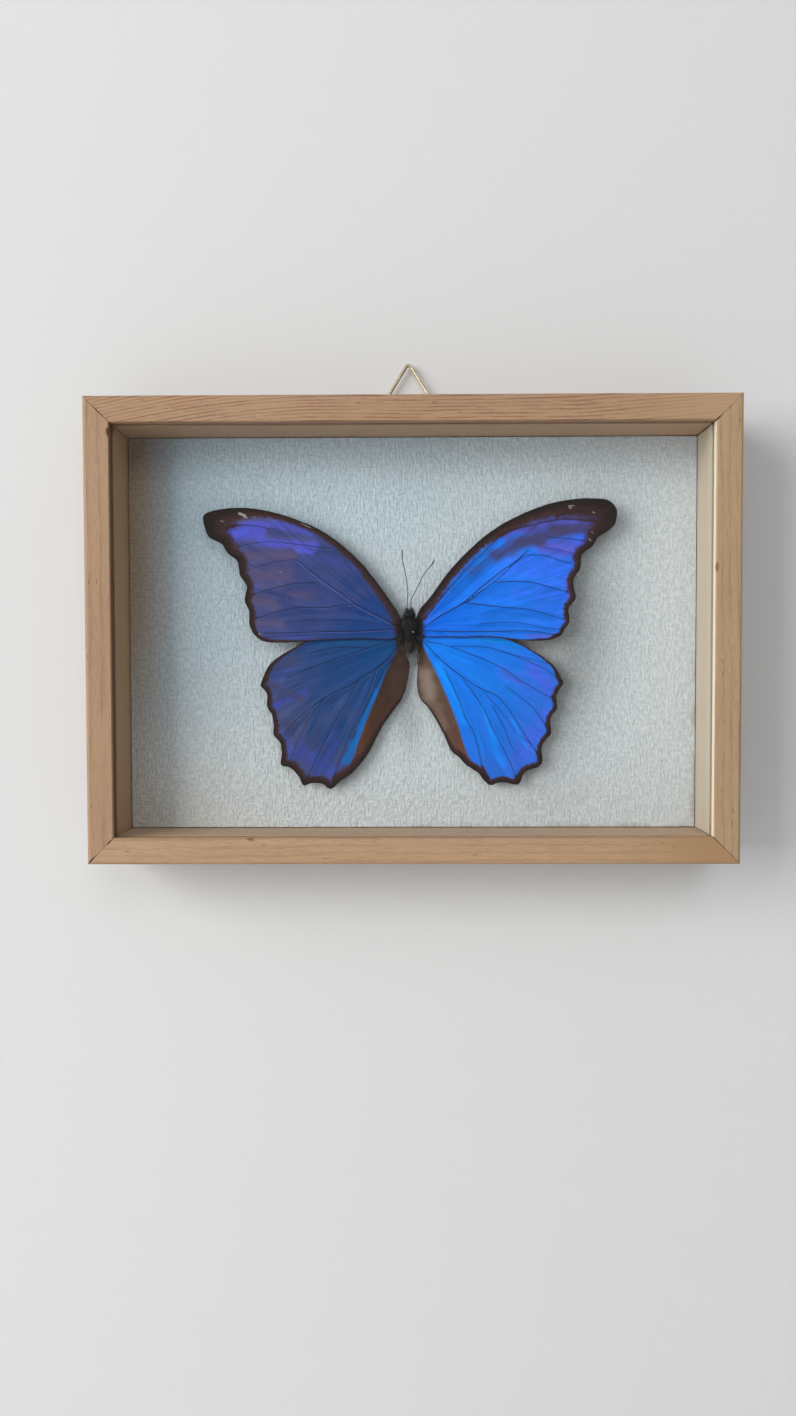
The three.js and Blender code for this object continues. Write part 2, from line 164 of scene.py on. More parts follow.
class Sketch:
    """Lays out one node tree, for a material, a shader group or a geometry modifier."""

    def __init__(self, tree: bpy.types.NodeTree) -> None:
        """Keeps the tree that the nodes go into."""
        self.tree = tree

    def feed(self, socket: bpy.types.NodeSocket, value: object) -> None:
        """Gives an input its value.

        Args:
            socket: The input.
            value: A node's output, or a plain value.
        """
        source = getattr(value, "socket", value)
        if isinstance(source, bpy.types.NodeSocket):
            self.tree.links.new(source, socket)
        else:
            socket.default_value = source

    def node(self, kind: str, inputs: dict | None = None, **settings: object) -> bpy.types.Node:
        """Adds a node.

        Args:
            kind: The node's type.
            inputs: What each input gets, by name or number.
            **settings: The node's own properties.

        Returns:
            The node.
        """
        made = self.tree.nodes.new(kind)
        for name, value in settings.items():
            setattr(made, name, value)
        for key, value in (inputs or {}).items():
            self.feed(made.inputs[key], value)
        return made

    def value(
        self, kind: str, inputs: dict | None = None, output: str | int = 0, **settings: object
    ) -> Value:
        """Adds a node and returns one of its outputs.

        Args:
            kind: The node's type.
            inputs: What each input gets, by name or number.
            output: The output's name or number.
            **settings: The node's own properties.

        Returns:
            The output.
        """
        return Value(self, self.node(kind, inputs, **settings).outputs[output])

    def values(self, node: bpy.types.Node) -> dict[str, Value]:
        """Returns a node's outputs by name."""
        return {socket.name: Value(self, socket) for socket in node.outputs}

    def math(self, operation: str, *values: object) -> Value:
        """Adds a Math node and returns its result."""
        return self.value("ShaderNodeMath", dict(enumerate(values)), operation=operation)

    def most(self, a: object, b: object) -> Value:
        """Returns the larger of two values."""
        return self.math("MAXIMUM", a, b)

    def span(
        self, value: object, low: float, high: float, to_low: float = 0.0, to_high: float = 1.0
    ) -> Value:
        """Maps a value smoothly from one range to another, clamped.

        Args:
            value: What is mapped.
            low: The value that becomes to_low.
            high: The value that becomes to_high.
            to_low: The result at low.
            to_high: The result at high.

        Returns:
            The mapped value.
        """
        inputs = {"Value": value, "From Min": low, "From Max": high, "To Min": to_low, "To Max": to_high}
        return self.value("ShaderNodeMapRange", inputs, "Result", interpolation_type="SMOOTHSTEP")

    def noise(
        self, vector: object, scale: float, detail: float = 2.0, rough: float = 0.5, bend: float = 0.0
    ) -> Value:
        """Adds a Noise texture.

        Args:
            vector: Where it is read.
            scale: Lumps for each unit of the vector.
            detail: How many finer layers it has.
            rough: How strong the finer layers are.
            bend: How far it distorts itself.

        Returns:
            A value round one half.
        """
        inputs = {"Vector": vector, "Scale": scale, "Detail": detail, "Roughness": rough, "Distortion": bend}
        return self.value("ShaderNodeTexNoise", inputs)

    def blend(self, share: object, a: object, b: object, mode: str = "MIX") -> Value:
        """Mixes two colours.

        Args:
            share: How much of the second shows.
            a: The first colour.
            b: The second colour.
            mode: Blender's name for the way they mix.

        Returns:
            The mixed colour.
        """
        inputs = {0: share, 6: a, 7: b}
        return self.value("ShaderNodeMix", inputs, 2, data_type="RGBA", blend_type=mode, clamp_factor=True)

    def layers(self, tone: object, *coats: tuple[object, object]) -> Value:
        """Lays coats over a tone, one after another.

        Args:
            tone: The first colour.
            *coats: Each coat's share and colour.

        Returns:
            The colour on top.
        """
        for share, colour in coats:
            tone = self.blend(share, tone, colour)
        return tone

    def shaded(self, tone: object, light: object) -> Value:
        """Multiplies a colour by a lightness."""
        return self.blend(1.0, tone, self.vector(light, light, light), "MULTIPLY")

    def split(self, vector: object) -> list[Value]:
        """Returns a vector's x, y and z."""
        return list(self.values(self.node("ShaderNodeSeparateXYZ", {0: vector})).values())

    def vector(self, x: object, y: object, z: object) -> Value:
        """Joins three values into a vector."""
        return self.value("ShaderNodeCombineXYZ", {0: x, 1: y, 2: z})

    def scaled(self, vector: object, factors: tuple[float, float, float]) -> Value:
        """Multiplies a vector by a factor for each axis."""
        return self.value("ShaderNodeVectorMath", {0: vector, 1: factors}, operation="MULTIPLY")

    def attribute(self, name: str) -> Value:
        """Reads a number that the mesh holds for each vertex."""
        return self.value("ShaderNodeAttribute", output="Fac", attribute_name=name)

    def here(self) -> Value:
        """Returns the place on the object, in mm of the row frame."""
        return self.scaled(self.value("ShaderNodeTexCoord", output="Object"), (1 / MM,) * 3)


class NodeGroup(Sketch):
    """A node group with named inputs and outputs."""

    def __init__(self, name: str, kind: str, inputs: dict[str, object], outputs: dict[str, str]) -> None:
        """Starts the group.

        Args:
            name: The group's name.
            kind: Shader or Geometry.
            inputs: Each input's name and value, or its kind where it has no value.
            outputs: Each output's name and its kind, such as Float or Color.
        """
        super().__init__(bpy.data.node_groups.new(name, kind + "NodeTree"))
        self.sockets: dict[str, str] = {}
        for label, value in inputs.items():
            socket = self.new_socket(label, "INPUT", self.kind_of(value))
            if not isinstance(value, str):
                socket.default_value = value
            self.sockets[label] = socket.identifier
        for label, sort in outputs.items():
            self.new_socket(label, "OUTPUT", sort)
        self.given = self.values(self.node("NodeGroupInput"))
        self.result = self.node("NodeGroupOutput").inputs

    def new_socket(self, label: str, way: str, kind: str) -> bpy.types.NodeTreeInterfaceSocket:
        """Adds an input or an output to the group's face."""
        return self.tree.interface.new_socket(label, in_out=way, socket_type="NodeSocket" + kind)

    @staticmethod
    def kind_of(value: object) -> str:
        """Names the kind of socket that holds a value; text is such a name already."""
        if isinstance(value, str):
            return value
        if isinstance(value, tuple):
            return "Vector" if len(value) == 3 else "Color"
        return "Int" if isinstance(value, int) else "Float"


class EffectGroup(NodeGroup):
    """A shader node group, built once and placed in several materials."""

    def __init__(self, name: str, inputs: dict[str, object], outputs: dict[str, str]) -> None:
        """Starts the group."""
        super().__init__(name, "Shader", inputs, outputs)

    def put_out(self, **values: Value) -> None:
        """Feeds the group's outputs by name."""
        for label, value in values.items():
            self.feed(self.result[label], value)

    def place(self, sketch: Sketch, **values: object) -> dict[str, Value]:
        """Puts the group into a material.

        Args:
            sketch: The material's tree.
            **values: The inputs, with _ for a space.

        Returns:
            The placed group's outputs by name.
        """
        inputs = {label.replace("_", " "): value for label, value in values.items()}
        return sketch.values(sketch.node("ShaderNodeGroup", inputs, node_tree=self.tree))


def fleck_group() -> EffectGroup:
    """Builds the scattered flecks that wood, metal, card and board share."""
    s = EffectGroup("flecks", {"Vector": (0.0, 0.0, 0.0), "Scale": 1.0, "Amount": 0.2}, {"Mask": "Float"})
    ask = s.given
    inputs = {"Vector": ask["Vector"], "Scale": ask["Scale"], "Randomness": 1.0}
    cells = s.values(s.node("ShaderNodeTexVoronoi", inputs, feature="F1"))
    chosen = s.math("LESS_THAN", s.split(cells["Color"])[0], ask["Amount"])
    s.put_out(Mask=chosen * s.span(cells["Distance"], 0.12, 0.3, 1.0, 0.0))
    return s


def grain_group() -> EffectGroup:
    """Builds pine grain from growth rings round a tilted pith, with fibres along the rail."""
    inputs = {
        "Vector": (0.0, 0.0, 0.0),
        "Light": paint(190, 155, 120),
        "Dark": paint(140, 95, 65),
        "Ring Spacing": 1.5,
        "Pith Across": -30.0,
        "Pith Depth": 60.0,
        "Tilt": 0.01,
        "Sweep": 0.0,
        "Line Strength": 0.6,
    }
    s = EffectGroup("pine_grain", inputs, {"Color": "Color", "Rough": "Float", "Relief": "Float"})
    ask, here = s.given, s.given["Vector"]
    along, depth, across = s.split(here)
    drift = s.noise(s.scaled(here, (0.012, 0.05, 0.05)), 1.0)
    bowed = across + (drift - 0.5) * 5.0 - along * ask["Tilt"] - along**3.0 * ask["Sweep"]
    radius = s.math("SQRT", (bowed - ask["Pith Across"]) ** 2.0 + (depth - ask["Pith Depth"]) ** 2.0)
    phase = s.math("FRACT", radius / ask["Ring Spacing"])
    late = s.span(phase, 0.45, 0.84) * s.span(phase, 0.88, 1.0, 1.0, 0.0)
    fade = s.noise(s.vector(along * 0.05, radius * 0.9, 0.0), 1.0, 3.0, 0.6)
    line = late * s.span(fade, 0.36, 0.62) * ask["Line Strength"]
    fibre = s.noise(s.scaled(here, (0.22, 5.0, 5.0)), 1.0, 3.0, 0.6)
    dash = s.span(s.noise(s.scaled(here, (0.3, 3.2, 3.2)), 1.0, 2.0, 0.6, 0.3), 0.56, 0.7)
    cloud = s.noise(s.scaled(here, (0.02, 0.12, 0.12)), 1.0)
    tone = s.layers(ask["Light"], *((share, ask["Dark"]) for share in (cloud * 0.28, line, dash * 0.35)))
    tone = s.shaded(tone, s.span(fibre, 0.25, 0.75, 0.86, 1.1))
    s.put_out(Color=tone, Rough=fibre * 0.2 + 0.5, Relief=fibre * 0.5 - line * 0.5)
    return s


def scale_group() -> EffectGroup:
    """Builds the blue wing scales: colour from the body outwards, streaks, bare patches, veins and bands."""
    inputs = {
        "Vector": (0.0, 0.0, 0.0),
        "Root": paint(10, 105, 215),
        "Middle": paint(30, 105, 205),
        "Outer": paint(60, 105, 225),
        "Violet": paint(84, 90, 215),
        "Teal": paint(20, 110, 190),
        "Bright": paint(40, 130, 220),
        "Bare": paint(80, 76, 110),
        "Vein": paint(20, 50, 120),
        "Crest": paint(90, 140, 220),
        "Band": paint(40, 26, 22),
        "Band Inside": paint(84, 48, 36),
        "Fold": paint(90, 66, 54),
        "Fold Low": paint(96, 58, 40),
        "Satin": paint(128, 110, 100),
        "Streak": 0.5,
    }
    outputs = {"Color": "Color", "Rough": "Float", "Metal": "Float", "Relief": "Float"}
    s = EffectGroup("wing_scales", inputs, outputs)
    ask, here, read = s.given, s.given["Vector"], s.attribute
    ray, reach, gap = read("ray"), read("reach"), read("vein_gap")
    coarse = s.noise(s.vector(ray * 60.0, reach * 1.6, 0.0), 1.0, 3.0, 0.6)
    fine = s.noise(s.vector(ray * 260.0, reach * 6.0, 5.0), 1.0, 3.0, 0.65)
    cloud = s.noise(here, 0.09, 3.0, 0.55)
    rows = s.noise(here, 3.4, 3.0, 0.7)

    shifted = reach + (coarse + cloud - 1.0) * 0.5
    blue = s.layers(
        ask["Root"], (s.span(shifted, 0.1, 0.5), ask["Middle"]), (s.span(shifted, 0.45, 0.95), ask["Outer"])
    )
    ragged = (coarse + fine - 1.0) * 1.1
    for name in ("Teal", "Violet", "Bright"):
        patch = read(name.lower())
        blue = s.blend(s.span(patch + ragged * s.span(patch, 0.0, 0.3), 0.05, 0.95), blue, ask[name])
    light = (coarse - 0.5) * ask["Streak"] + 1.0 + (fine - 0.5) * ask["Streak"]
    light = light + (rows - 0.5) * 0.3 + (cloud - 0.5) * 0.25
    # Darker within a little of each vein: painted shade beside the veins.
    blue = s.shaded(blue, light * s.span(gap, 0.1, 0.8, 0.86, 1.0))

    patch = read("bare")
    worn = s.span(patch + ragged * s.span(patch, 0.0, 0.25), 0.1, 1.0) * 0.9
    worn = s.most(worn, s.span(s.noise(here, 0.3, 5.0, 0.7), 0.52, 0.72) * s.span(reach, 0.3, 0.8, 0.0, 0.3))

    near = s.span(gap, 0.6, 1.0, 1.0, 0.0)
    side = read("vein_side")
    # A pale line on each vein's crest: a painted highlight.
    crest = s.span(abs(side - 0.3), 0.05, 0.22, 1.0, 0.0) * near * read("vein_highlight")
    dark = s.span(abs(side), 0.03, 0.17, 0.85, 0.0) * near * read("vein_dark")
    tone = s.layers(blue, (worn, ask["Bare"]), (crest, ask["Crest"]), (dark, ask["Vein"]))

    fold = s.span(read("fold_side") + (fine - 0.5) * 0.9, -0.25, 0.45)
    # Lighter patches on the brown folds: a painted highlight.
    satin = read("satin") * s.span(coarse, 0.3, 0.7, 0.75, 1.0)
    down = s.layers(ask["Fold"], (s.span(shifted, 0.3, 0.75), ask["Fold Low"]), (satin, ask["Satin"]))
    shade = s.span(rows + fine, 0.6, 1.4, 0.8, 1.16)

    spike = s.span(gap, 0.0, 0.9, 0.4, 0.0) * read("vein_dark")
    edge = read("edge") - spike + (s.noise(here, 0.9, 5.0, 0.75) - 0.5) + (fine - 0.5) * 0.35
    band = s.span(edge, 0.68, 1.14, 1.0, 0.0)
    inside = s.shaded(s.blend(s.span(edge, 0.12, 0.75), ask["Band"], ask["Band Inside"]), shade)
    base = s.span(read("root_gap") + (fine - 0.5) * 4.0, 3.4, 5.4, 1.0, 0.0)
    chipped = s.span(read("speck") + (s.noise(here, 2.4, 4.0, 0.8) - 0.5), 0.3, 0.8)
    tone = s.layers(
        tone, (fold, s.shaded(down, shade)), (band, inside), (base, inside),
        (chipped * 0.7, paint(176, 164, 166)),
    )

    dull = s.most(s.most(worn, fold), s.most(band, base))
    s.put_out(Color=tone, Rough=dull * 0.3 + 0.4, Metal=(1.0 - dull) * 0.2, Relief=rows * 0.5 + fine * 0.5)
    return s


FLECKS = fleck_group()
GRAIN = grain_group()
SCALES = scale_group()


class Finish(Sketch):
    """The tree of one material, with its Principled shader."""

    def __init__(self, name: str) -> None:
        """Starts the material."""
        self.material = bpy.data.materials.new(name)
        self.material.use_nodes = True
        super().__init__(self.material.node_tree)
        self.shader = self.tree.nodes["Principled BSDF"]

    def let_through(self, share: Value, color: tuple = (1.0, 1.0, 1.0, 1.0)) -> None:
        """Makes the surface clear, by a share and in a colour."""
        clear = self.value("ShaderNodeBsdfTransparent", {"Color": color})
        mixed = self.value("ShaderNodeMixShader", {0: share, 1: self.shader.outputs[0], 2: clear})
        self.feed(self.tree.nodes["Material Output"].inputs["Surface"], mixed)

    def finished(self, inputs: dict[str, object], bump: tuple | None = None) -> bpy.types.Material:
        """Feeds the shader.

        Args:
            inputs: What each of the shader's inputs gets, by name.
            bump: The height, about 0 to 1, the bump's strength, and what a height of 1 stands for, in mm.

        Returns:
            The material.
        """
        for name, value in inputs.items():
            self.feed(self.shader.inputs[name], value)
        if bump:
            height, strength, distance = bump
            inputs = {"Height": height, "Strength": strength, "Distance": distance * MM}
            self.feed(self.shader.inputs["Normal"], self.value("ShaderNodeBump", inputs))
        return self.material


# ------------------------------------------------------------------ finishes


@dataclass(frozen=True)
class PineFinish:
    """Bare sanded pine on one rail.

    Attributes:
        name: The material's name.
        quarter_turns: How far round the frame the rail sits, from the top clockwise.
        shift: Where the pattern starts, in mm.
        light: The early wood's colour.
        dark: The late wood's colour.
        spacing: The growth rings' spacing, mm.
        pith: The pith's place, across and in depth, mm.
        tilt: How far the grain leans across for each mm along.
        line: How strong the late wood's lines are.
        inner: The inner wall's colour, with painted light and shade: paler and greyer on the rail whose inner
            side faces the light.
        lip_shading: The wall's colour in front of the glass, with painted light and shade: cream on the lit
            right rail, dark brown on the shaded left one.
        sweep: How strongly the grain bends towards the rail's ends.
        tail: The wood's colour at the right end of a level rail, and how much of it shows.
    """

    name: str
    quarter_turns: int
    shift: tuple[float, float, float]
    light: tuple
    dark: tuple
    spacing: float
    pith: tuple[float, float]
    tilt: float
    line: float
    inner: tuple
    lip_shading: tuple
    sweep: float = 0.0
    tail: tuple = (paint(164, 134, 100), 0.0)

    def material(self) -> bpy.types.Material:
        """Builds the material."""
        s = Finish(self.name)
        x, depth, _ = s.split(s.here())
        turn = (0.0, self.quarter_turns * math.pi / 2, 0.0)
        inputs = {"Vector": s.here(), "Rotation": turn, "Location": self.shift}
        here = s.value("ShaderNodeMapping", inputs, vector_type="POINT")
        grain = GRAIN.place(
            s, Vector=here, Light=self.light, Dark=self.dark, Ring_Spacing=self.spacing,
            Pith_Across=self.pith[0], Pith_Depth=self.pith[1], Tilt=self.tilt, Line_Strength=self.line,
            Sweep=self.sweep,
        )
        flecks = FLECKS.place(s, Vector=s.scaled(here, (0.25, 0.9, 0.9)), Scale=1.0, Amount=0.05)["Mask"]
        inner = s.attribute("inner")
        lip_shading = inner * s.math("LESS_THAN", depth, LIP_END)
        joint = s.attribute("mitre_gap") + s.noise(here, 0.7) * 0.5
        broken = s.span(s.noise(here, 0.32), 0.42, 0.58, 0.2, 1.0)
        tone = s.layers(
            grain["Color"],
            (flecks * 0.5, paint(96, 58, 38)),
            (s.span(x, 60.0, 102.0, 0.0, self.tail[1]), self.tail[0]),
            # The inner wall and the wall in front of the glass take painted light and shade; the dark band
            # just in front of the glass is a painted shadow.
            (inner * 0.85, self.inner),
            (lip_shading * 0.8, self.lip_shading),
            (lip_shading * s.span(depth, LIP_END - 1.4, LIP_END - 0.6, 0.0, 0.8), paint(66, 42, 30)),
            (s.span(s.attribute("bruise") + s.noise(here, 1.5, 3.0), 0.75, 1.05), paint(122, 78, 52)),
            (s.span(joint, 0.2, 0.6, 0.7, 0.0) * broken, paint(70, 46, 32)),
        )
        inputs = {"Base Color": tone, "Roughness": grain["Rough"], "Specular IOR Level": 0.35}
        return s.finished(inputs, (grain["Relief"], 0.35, 0.08))


@dataclass(frozen=True)
class ScaleFinish:
    """Wing scales on one wing.

    Attributes:
        name: The material's name.
        blues: The scales' colour at the body, in the middle and near the margin.
        violet: Where the scales shine violet.
        teal: Where they shine greener.
        bright: Where they catch the light.
        bare: The colour where scales are worn off.
        vein: The veins' colour.
        crest: The painted highlight along a vein's crest.
        band: The dark band's colours, at the edge and inside it.
        fold: The brown fold beside the body: its top, its lower part and its painted highlight.
        streak: How strong the streaks along the veins are.
    """

    name: str
    blues: tuple
    violet: tuple
    teal: tuple
    bright: tuple
    bare: tuple
    vein: tuple
    crest: tuple
    band: tuple = (paint(33, 23, 22), paint(57, 36, 32))
    fold: tuple = (paint(86, 64, 54), paint(94, 60, 44), paint(130, 112, 102))
    streak: float = 0.5

    def material(self) -> bpy.types.Material:
        """Builds the material."""
        s = Finish(self.name)
        root, middle, outer = self.blues
        scales = SCALES.place(
            s, Vector=s.here(), Root=root, Middle=middle, Outer=outer, Violet=self.violet, Teal=self.teal,
            Bright=self.bright, Bare=self.bare, Vein=self.vein, Crest=self.crest, Band=self.band[0],
            Band_Inside=self.band[1], Fold=self.fold[0], Fold_Low=self.fold[1], Satin=self.fold[2],
            Streak=self.streak,
        )
        inputs = {"Base Color": scales["Color"], "Roughness": scales["Rough"], "Metallic": scales["Metal"]}
        return s.finished({**inputs, "Specular IOR Level": 0.12}, (scales["Relief"], 0.4, 0.05))


@dataclass(frozen=True)
class MetalFinish:
    """Plated or plain metal with a little tarnish.

    Attributes:
        name: The material's name.
        clean: The bright metal's colour.
        dull: The tarnished colour.
        rough: The bright metal's roughness.
    """

    name: str
    clean: tuple
    dull: tuple
    rough: float

    def material(self) -> bpy.types.Material:
        """Builds the material."""
        s = Finish(self.name)
        here = s.here()
        scratch = s.noise(s.scaled(here, (6.0, 6.0, 1.2)), 1.0, 2.0, 0.6)
        flecks = FLECKS.place(s, Vector=here, Scale=1.6, Amount=0.12)["Mask"]
        tarnish = s.most(s.span(s.noise(here, 0.35, 4.0, 0.55), 0.5, 0.75, 0.0, 0.5), flecks * 0.25)
        tone = s.blend(tarnish, self.clean, self.dull)
        rough = tarnish * 0.25 + self.rough + scratch * 0.08
        return s.finished({"Base Color": tone, "Roughness": rough, "Metallic": 1.0}, (scratch, 0.02, 0.005))


@dataclass(frozen=True)
class ChitinFinish:
    """Hair, chitin or membrane: a dark natural surface that varies from one end to the other.

    Attributes:
        name: The material's name.
        dark: The darker colour, at the top.
        brown: The browner colour, lower down.
        heights: Where the change starts and ends, in z of the box, mm.
        rough: The roughness.
        vary: How strong the small variation is.
    """

    name: str
    dark: tuple
    brown: tuple
    heights: tuple[float, float] = (-60.0, -50.0)
    rough: float = 0.6
    vary: float = 0.5

    def material(self) -> bpy.types.Material:
        """Builds the material."""
        s = Finish(self.name)
        here = s.here()
        height = s.split(here)[2] - PLACE.origin[2] / MM
        wander = height + (s.noise(here, 0.8) - 0.5) * 3.0
        tone = s.blend(s.span(wander, self.heights[0], self.heights[1], 1.0, 0.0), self.dark, self.brown)
        grain = s.noise(here, 5.0, 3.0, 0.6)
        tone = s.shaded(tone, grain * self.vary + (1.0 - self.vary / 2))
        rough = s.span(grain, 0.2, 0.8, self.rough - 0.08, self.rough + 0.08)
        inputs = {"Base Color": tone, "Roughness": rough, "Specular IOR Level": 0.3}
        return s.finished(inputs, (grain, 0.3, 0.04))


@dataclass(frozen=True)
class CardFinish:
    """White embossed card, with painted shade and warm bounce light along its left edge, painted light at its
    lower left, painted shade towards the top left, painted wing shadows and painted light and shade on its
    embossing.
    """

    name: str = "embossed_card"

    def material(self) -> bpy.types.Material:
        """Builds the material."""
        s = Finish(self.name)
        here = s.here()
        x, _, z = s.split(here)
        ticks = s.span(s.noise(s.scaled(here, (1.5, 1.0, 0.55)), 1.0, 1.0), 0.3, 0.7)
        threads = s.span(s.noise(s.scaled(here, (0.4, 1.0, 1.5)), 1.0, 1.0), 0.3, 0.7)
        weave = ticks * 0.6 + threads * 0.4
        grain = s.noise(s.scaled(here, (2.4, 2.4, 0.8)), 1.0, 3.0, 0.6)
        # Lighter and warmer at the lower left: painted light.
        lit_low_left = s.span(x, -92.0, -20.0, 0.6, 0.0) * s.span(z, -175.0, -105.0, 1.0, 0.0)
        flecks = FLECKS.place(s, Vector=here, Scale=0.12, Amount=0.06)["Mask"]
        tone = s.layers(
            paint(190, 193, 195),
            # Cooler and darker towards the top left: painted shade.
            (s.span(z * 1.3 - x, -190.0, 20.0), paint(166, 181, 192)),
            (s.span(s.noise(here, 0.02, 3.0), 0.3, 0.7, 0.0, 0.2), paint(196, 199, 204)),
            (lit_low_left, paint(218, 208, 196)),
            # Warm brown along the left edge: painted shade with warm bounce light from the rail; between the
            # right wings: a painted shadow; near the lower right edges: darker blotches.
            (s.attribute("shade_and_blots") * 0.95, paint(142, 118, 90)),
            # Grey beside and between the right wings: painted wing shadows.
            (s.attribute("painted_wing_shadow") * 0.68, paint(112, 114, 114)),
            (flecks * 0.12, paint(140, 130, 118)),
        )
        # The embossed strokes are also painted lighter and darker: painted light and shade on top of the
        # bump.
        tone = s.shaded(tone, s.span(weave, 0.1, 0.9, 0.87, 1.08))
        rough = s.span(grain, 0.2, 0.8, 0.78, 0.92)
        inputs = {"Base Color": tone, "Roughness": rough, "Specular IOR Level": 0.25}
        return s.finished(inputs, (weave * s.span(x, -80.0, 90.0, 1.1, 0.6), 1.0, 0.22))


@dataclass(frozen=True)
class BoardFinish:
    """Pressed hardboard or foam: smooth fibre, with pale fibres and dark flecks.

    Attributes:
        name: The material's name.
        light: The pale fibres' colour.
        dark: The flecks' colour.
        rough: The roughness.
    """

    name: str
    light: tuple
    dark: tuple
    rough: float = 0.75

    def material(self) -> bpy.types.Material:
        """Builds the material."""
        s = Finish(self.name)
        here = s.here()
        fibre = s.noise(here, 1.1, 5.0, 0.7, 1.4)
        flecks = FLECKS.place(s, Vector=here, Scale=0.7, Amount=0.25)["Mask"]
        tone = s.layers(
            self.dark,
            (s.span(fibre, 0.35, 0.68), self.light),
            (s.span(s.noise(here, 0.04, 3.0), 0.35, 0.7, 0.0, 0.3), self.dark),
            (flecks * 0.4, self.dark),
        )
        rough = s.span(fibre, 0.3, 0.7, self.rough - 0.08, self.rough + 0.08)
        return s.finished({"Base Color": tone, "Roughness": rough}, (fibre, 0.3, 0.06))


@dataclass(frozen=True)
class GlassFinish:
    """Clear picture glass that lets lamps through."""

    name: str = "picture_glass"

    def material(self) -> bpy.types.Material:
        """Builds the material."""
        s = Finish(self.name)
        path = s.values(s.node("ShaderNodeLightPath"))
        s.let_through(s.most(path["Is Shadow Ray"], path["Is Diffuse Ray"]), (0.97, 0.985, 0.98, 1.0))
        tint = (0.97, 0.99, 0.985, 1.0)
        return s.finished({"Base Color": tint, "Roughness": 0.0, "IOR": 1.5, "Transmission Weight": 1.0})


# ------------------------------------------------------------------ mesh makers


def linked(name: str, data: bpy.types.ID) -> bpy.types.Object:
    """Makes an object of some data and links it to the scene."""
    made = bpy.data.objects.new(name, data)
    bpy.context.scene.collection.objects.link(made)
    return made


def make_piece(
    name: str, points: np.ndarray, faces: Sequence, materials: Sequence[bpy.types.Material] = ()
) -> bpy.types.Object:
    """Makes a mesh object that sits at the origin.

    Args:
        name: The piece's name.
        points: Its vertices in metres.
        faces: Its faces, as vertex numbers.
        materials: Its materials.

    Returns:
        The object, linked to the scene.
    """
    mesh = bpy.data.meshes.new(name)
    mesh.from_pydata(np.asarray(points).tolist(), [], [list(map(int, face)) for face in faces])
    for material in materials:
        mesh.materials.append(material)
    return linked(name, mesh)


def worked_piece(name: str, work: bmesh.types.BMesh, material: bpy.types.Material) -> bpy.types.Object:
    """Turns a finished bmesh into a linked mesh object and frees it."""
    mesh = bpy.data.meshes.new(name)
    work.to_mesh(mesh)
    work.free()
    mesh.materials.append(material)
    return linked(name, mesh)


def plain_piece(name: str, source: bpy.types.Object, material: bpy.types.Material) -> bpy.types.Object:
    """Keeps what an object's modifiers make as a plain mesh.

    Args:
        name: The new piece's name.
        source: The object with the modifiers; it is removed.
        material: The piece's material, where the mesh brings none.

    Returns:
        The new piece.
    """
    graph = bpy.context.evaluated_depsgraph_get()
    mesh = bpy.data.meshes.new_from_object(source.evaluated_get(graph), depsgraph=graph)
    mesh.name = name
    bpy.data.objects.remove(source)
    if not mesh.materials:
        mesh.materials.append(material)
    return linked(name, mesh)


def set_attribute(mesh: bpy.types.Mesh, name: str, values: np.ndarray) -> None:
    """Gives each vertex a number that materials or node trees read by name."""
    mesh.attributes.new(name, "FLOAT", "POINT").data.foreach_set("value", np.asarray(values, np.float32))


def settle(piece: bpy.types.Object, sharp: float = 0.0, merge: float = 0.0) -> None:
    """Turns a piece's faces outwards and shades it smooth.

    Args:
        piece: The piece.
        sharp: The angle between faces past which an edge stays sharp, degrees; 0 leaves the shading.
        merge: Vertices nearer than this are merged first, mm.
    """
    work = bmesh.new()
    work.from_mesh(piece.data)
    if merge:
        bmesh.ops.remove_doubles(work, verts=work.verts, dist=merge * MM)
    bmesh.ops.recalc_face_normals(work, faces=work.faces)
    if sharp:
        for face in work.faces:
            face.smooth = True
        for edge in work.edges:
            edge.smooth = edge.calc_face_angle(0.0) < math.radians(sharp)
    work.to_mesh(piece.data)
    work.free()


def face_forwards(piece: bpy.types.Object) -> None:
    """Turns an open sheet's faces to the front."""
    if piece.data.polygons[0].normal.y > 0:
        piece.data.flip_normals()


def tube_faces(rings: int, count: int) -> np.ndarray:
    """Returns the quads that join rings of vertices, each ring closed on itself."""
    ring, side = np.mgrid[0 : rings - 1, 0:count].reshape(2, -1)
    after = (side + 1) % count
    quads = [ring * count + side, ring * count + after, (ring + 1) * count + after, (ring + 1) * count + side]
    return np.stack(quads, 1)


def smooth_path(points: Sequence, closed: bool = False, per_span: int = 8) -> np.ndarray:
    """Runs a centripetal Catmull-Rom curve through points.

    Args:
        points: The points, of any number of axes.
        closed: Whether the last point joins the first.
        per_span: Points for each stretch between two given ones.

    Returns:
        The curve's points.
    """
    given = np.asarray(points, float)
    if closed:
        held = np.vstack([given[-1], given, given[:2]])
    else:
        held = np.vstack([2 * given[0] - given[1], given, 2 * given[-1] - given[-2]])
    made = []
    share = np.linspace(0, 1, per_span, endpoint=False)[:, None]
    square, cube = share**2, share**3
    for p0, p1, p2, p3 in zip(held, held[1:], held[2:], held[3:]):
        d0, d1, d2 = (math.sqrt(np.linalg.norm(b - a)) or 1e-6 for a, b in ((p0, p1), (p1, p2), (p2, p3)))
        start = ((p1 - p0) / d0 - (p2 - p0) / (d0 + d1) + (p2 - p1) / d1) * d1
        end = ((p2 - p1) / d1 - (p3 - p1) / (d1 + d2) + (p3 - p2) / d2) * d1
        made.append(
            (2 * cube - 3 * square + 1) * p1 + (cube - 2 * square + share) * start
            + (3 * square - 2 * cube) * p2 + (cube - square) * end
        )
    if not closed:
        made.append(given[-1:])
    return np.vstack(made)


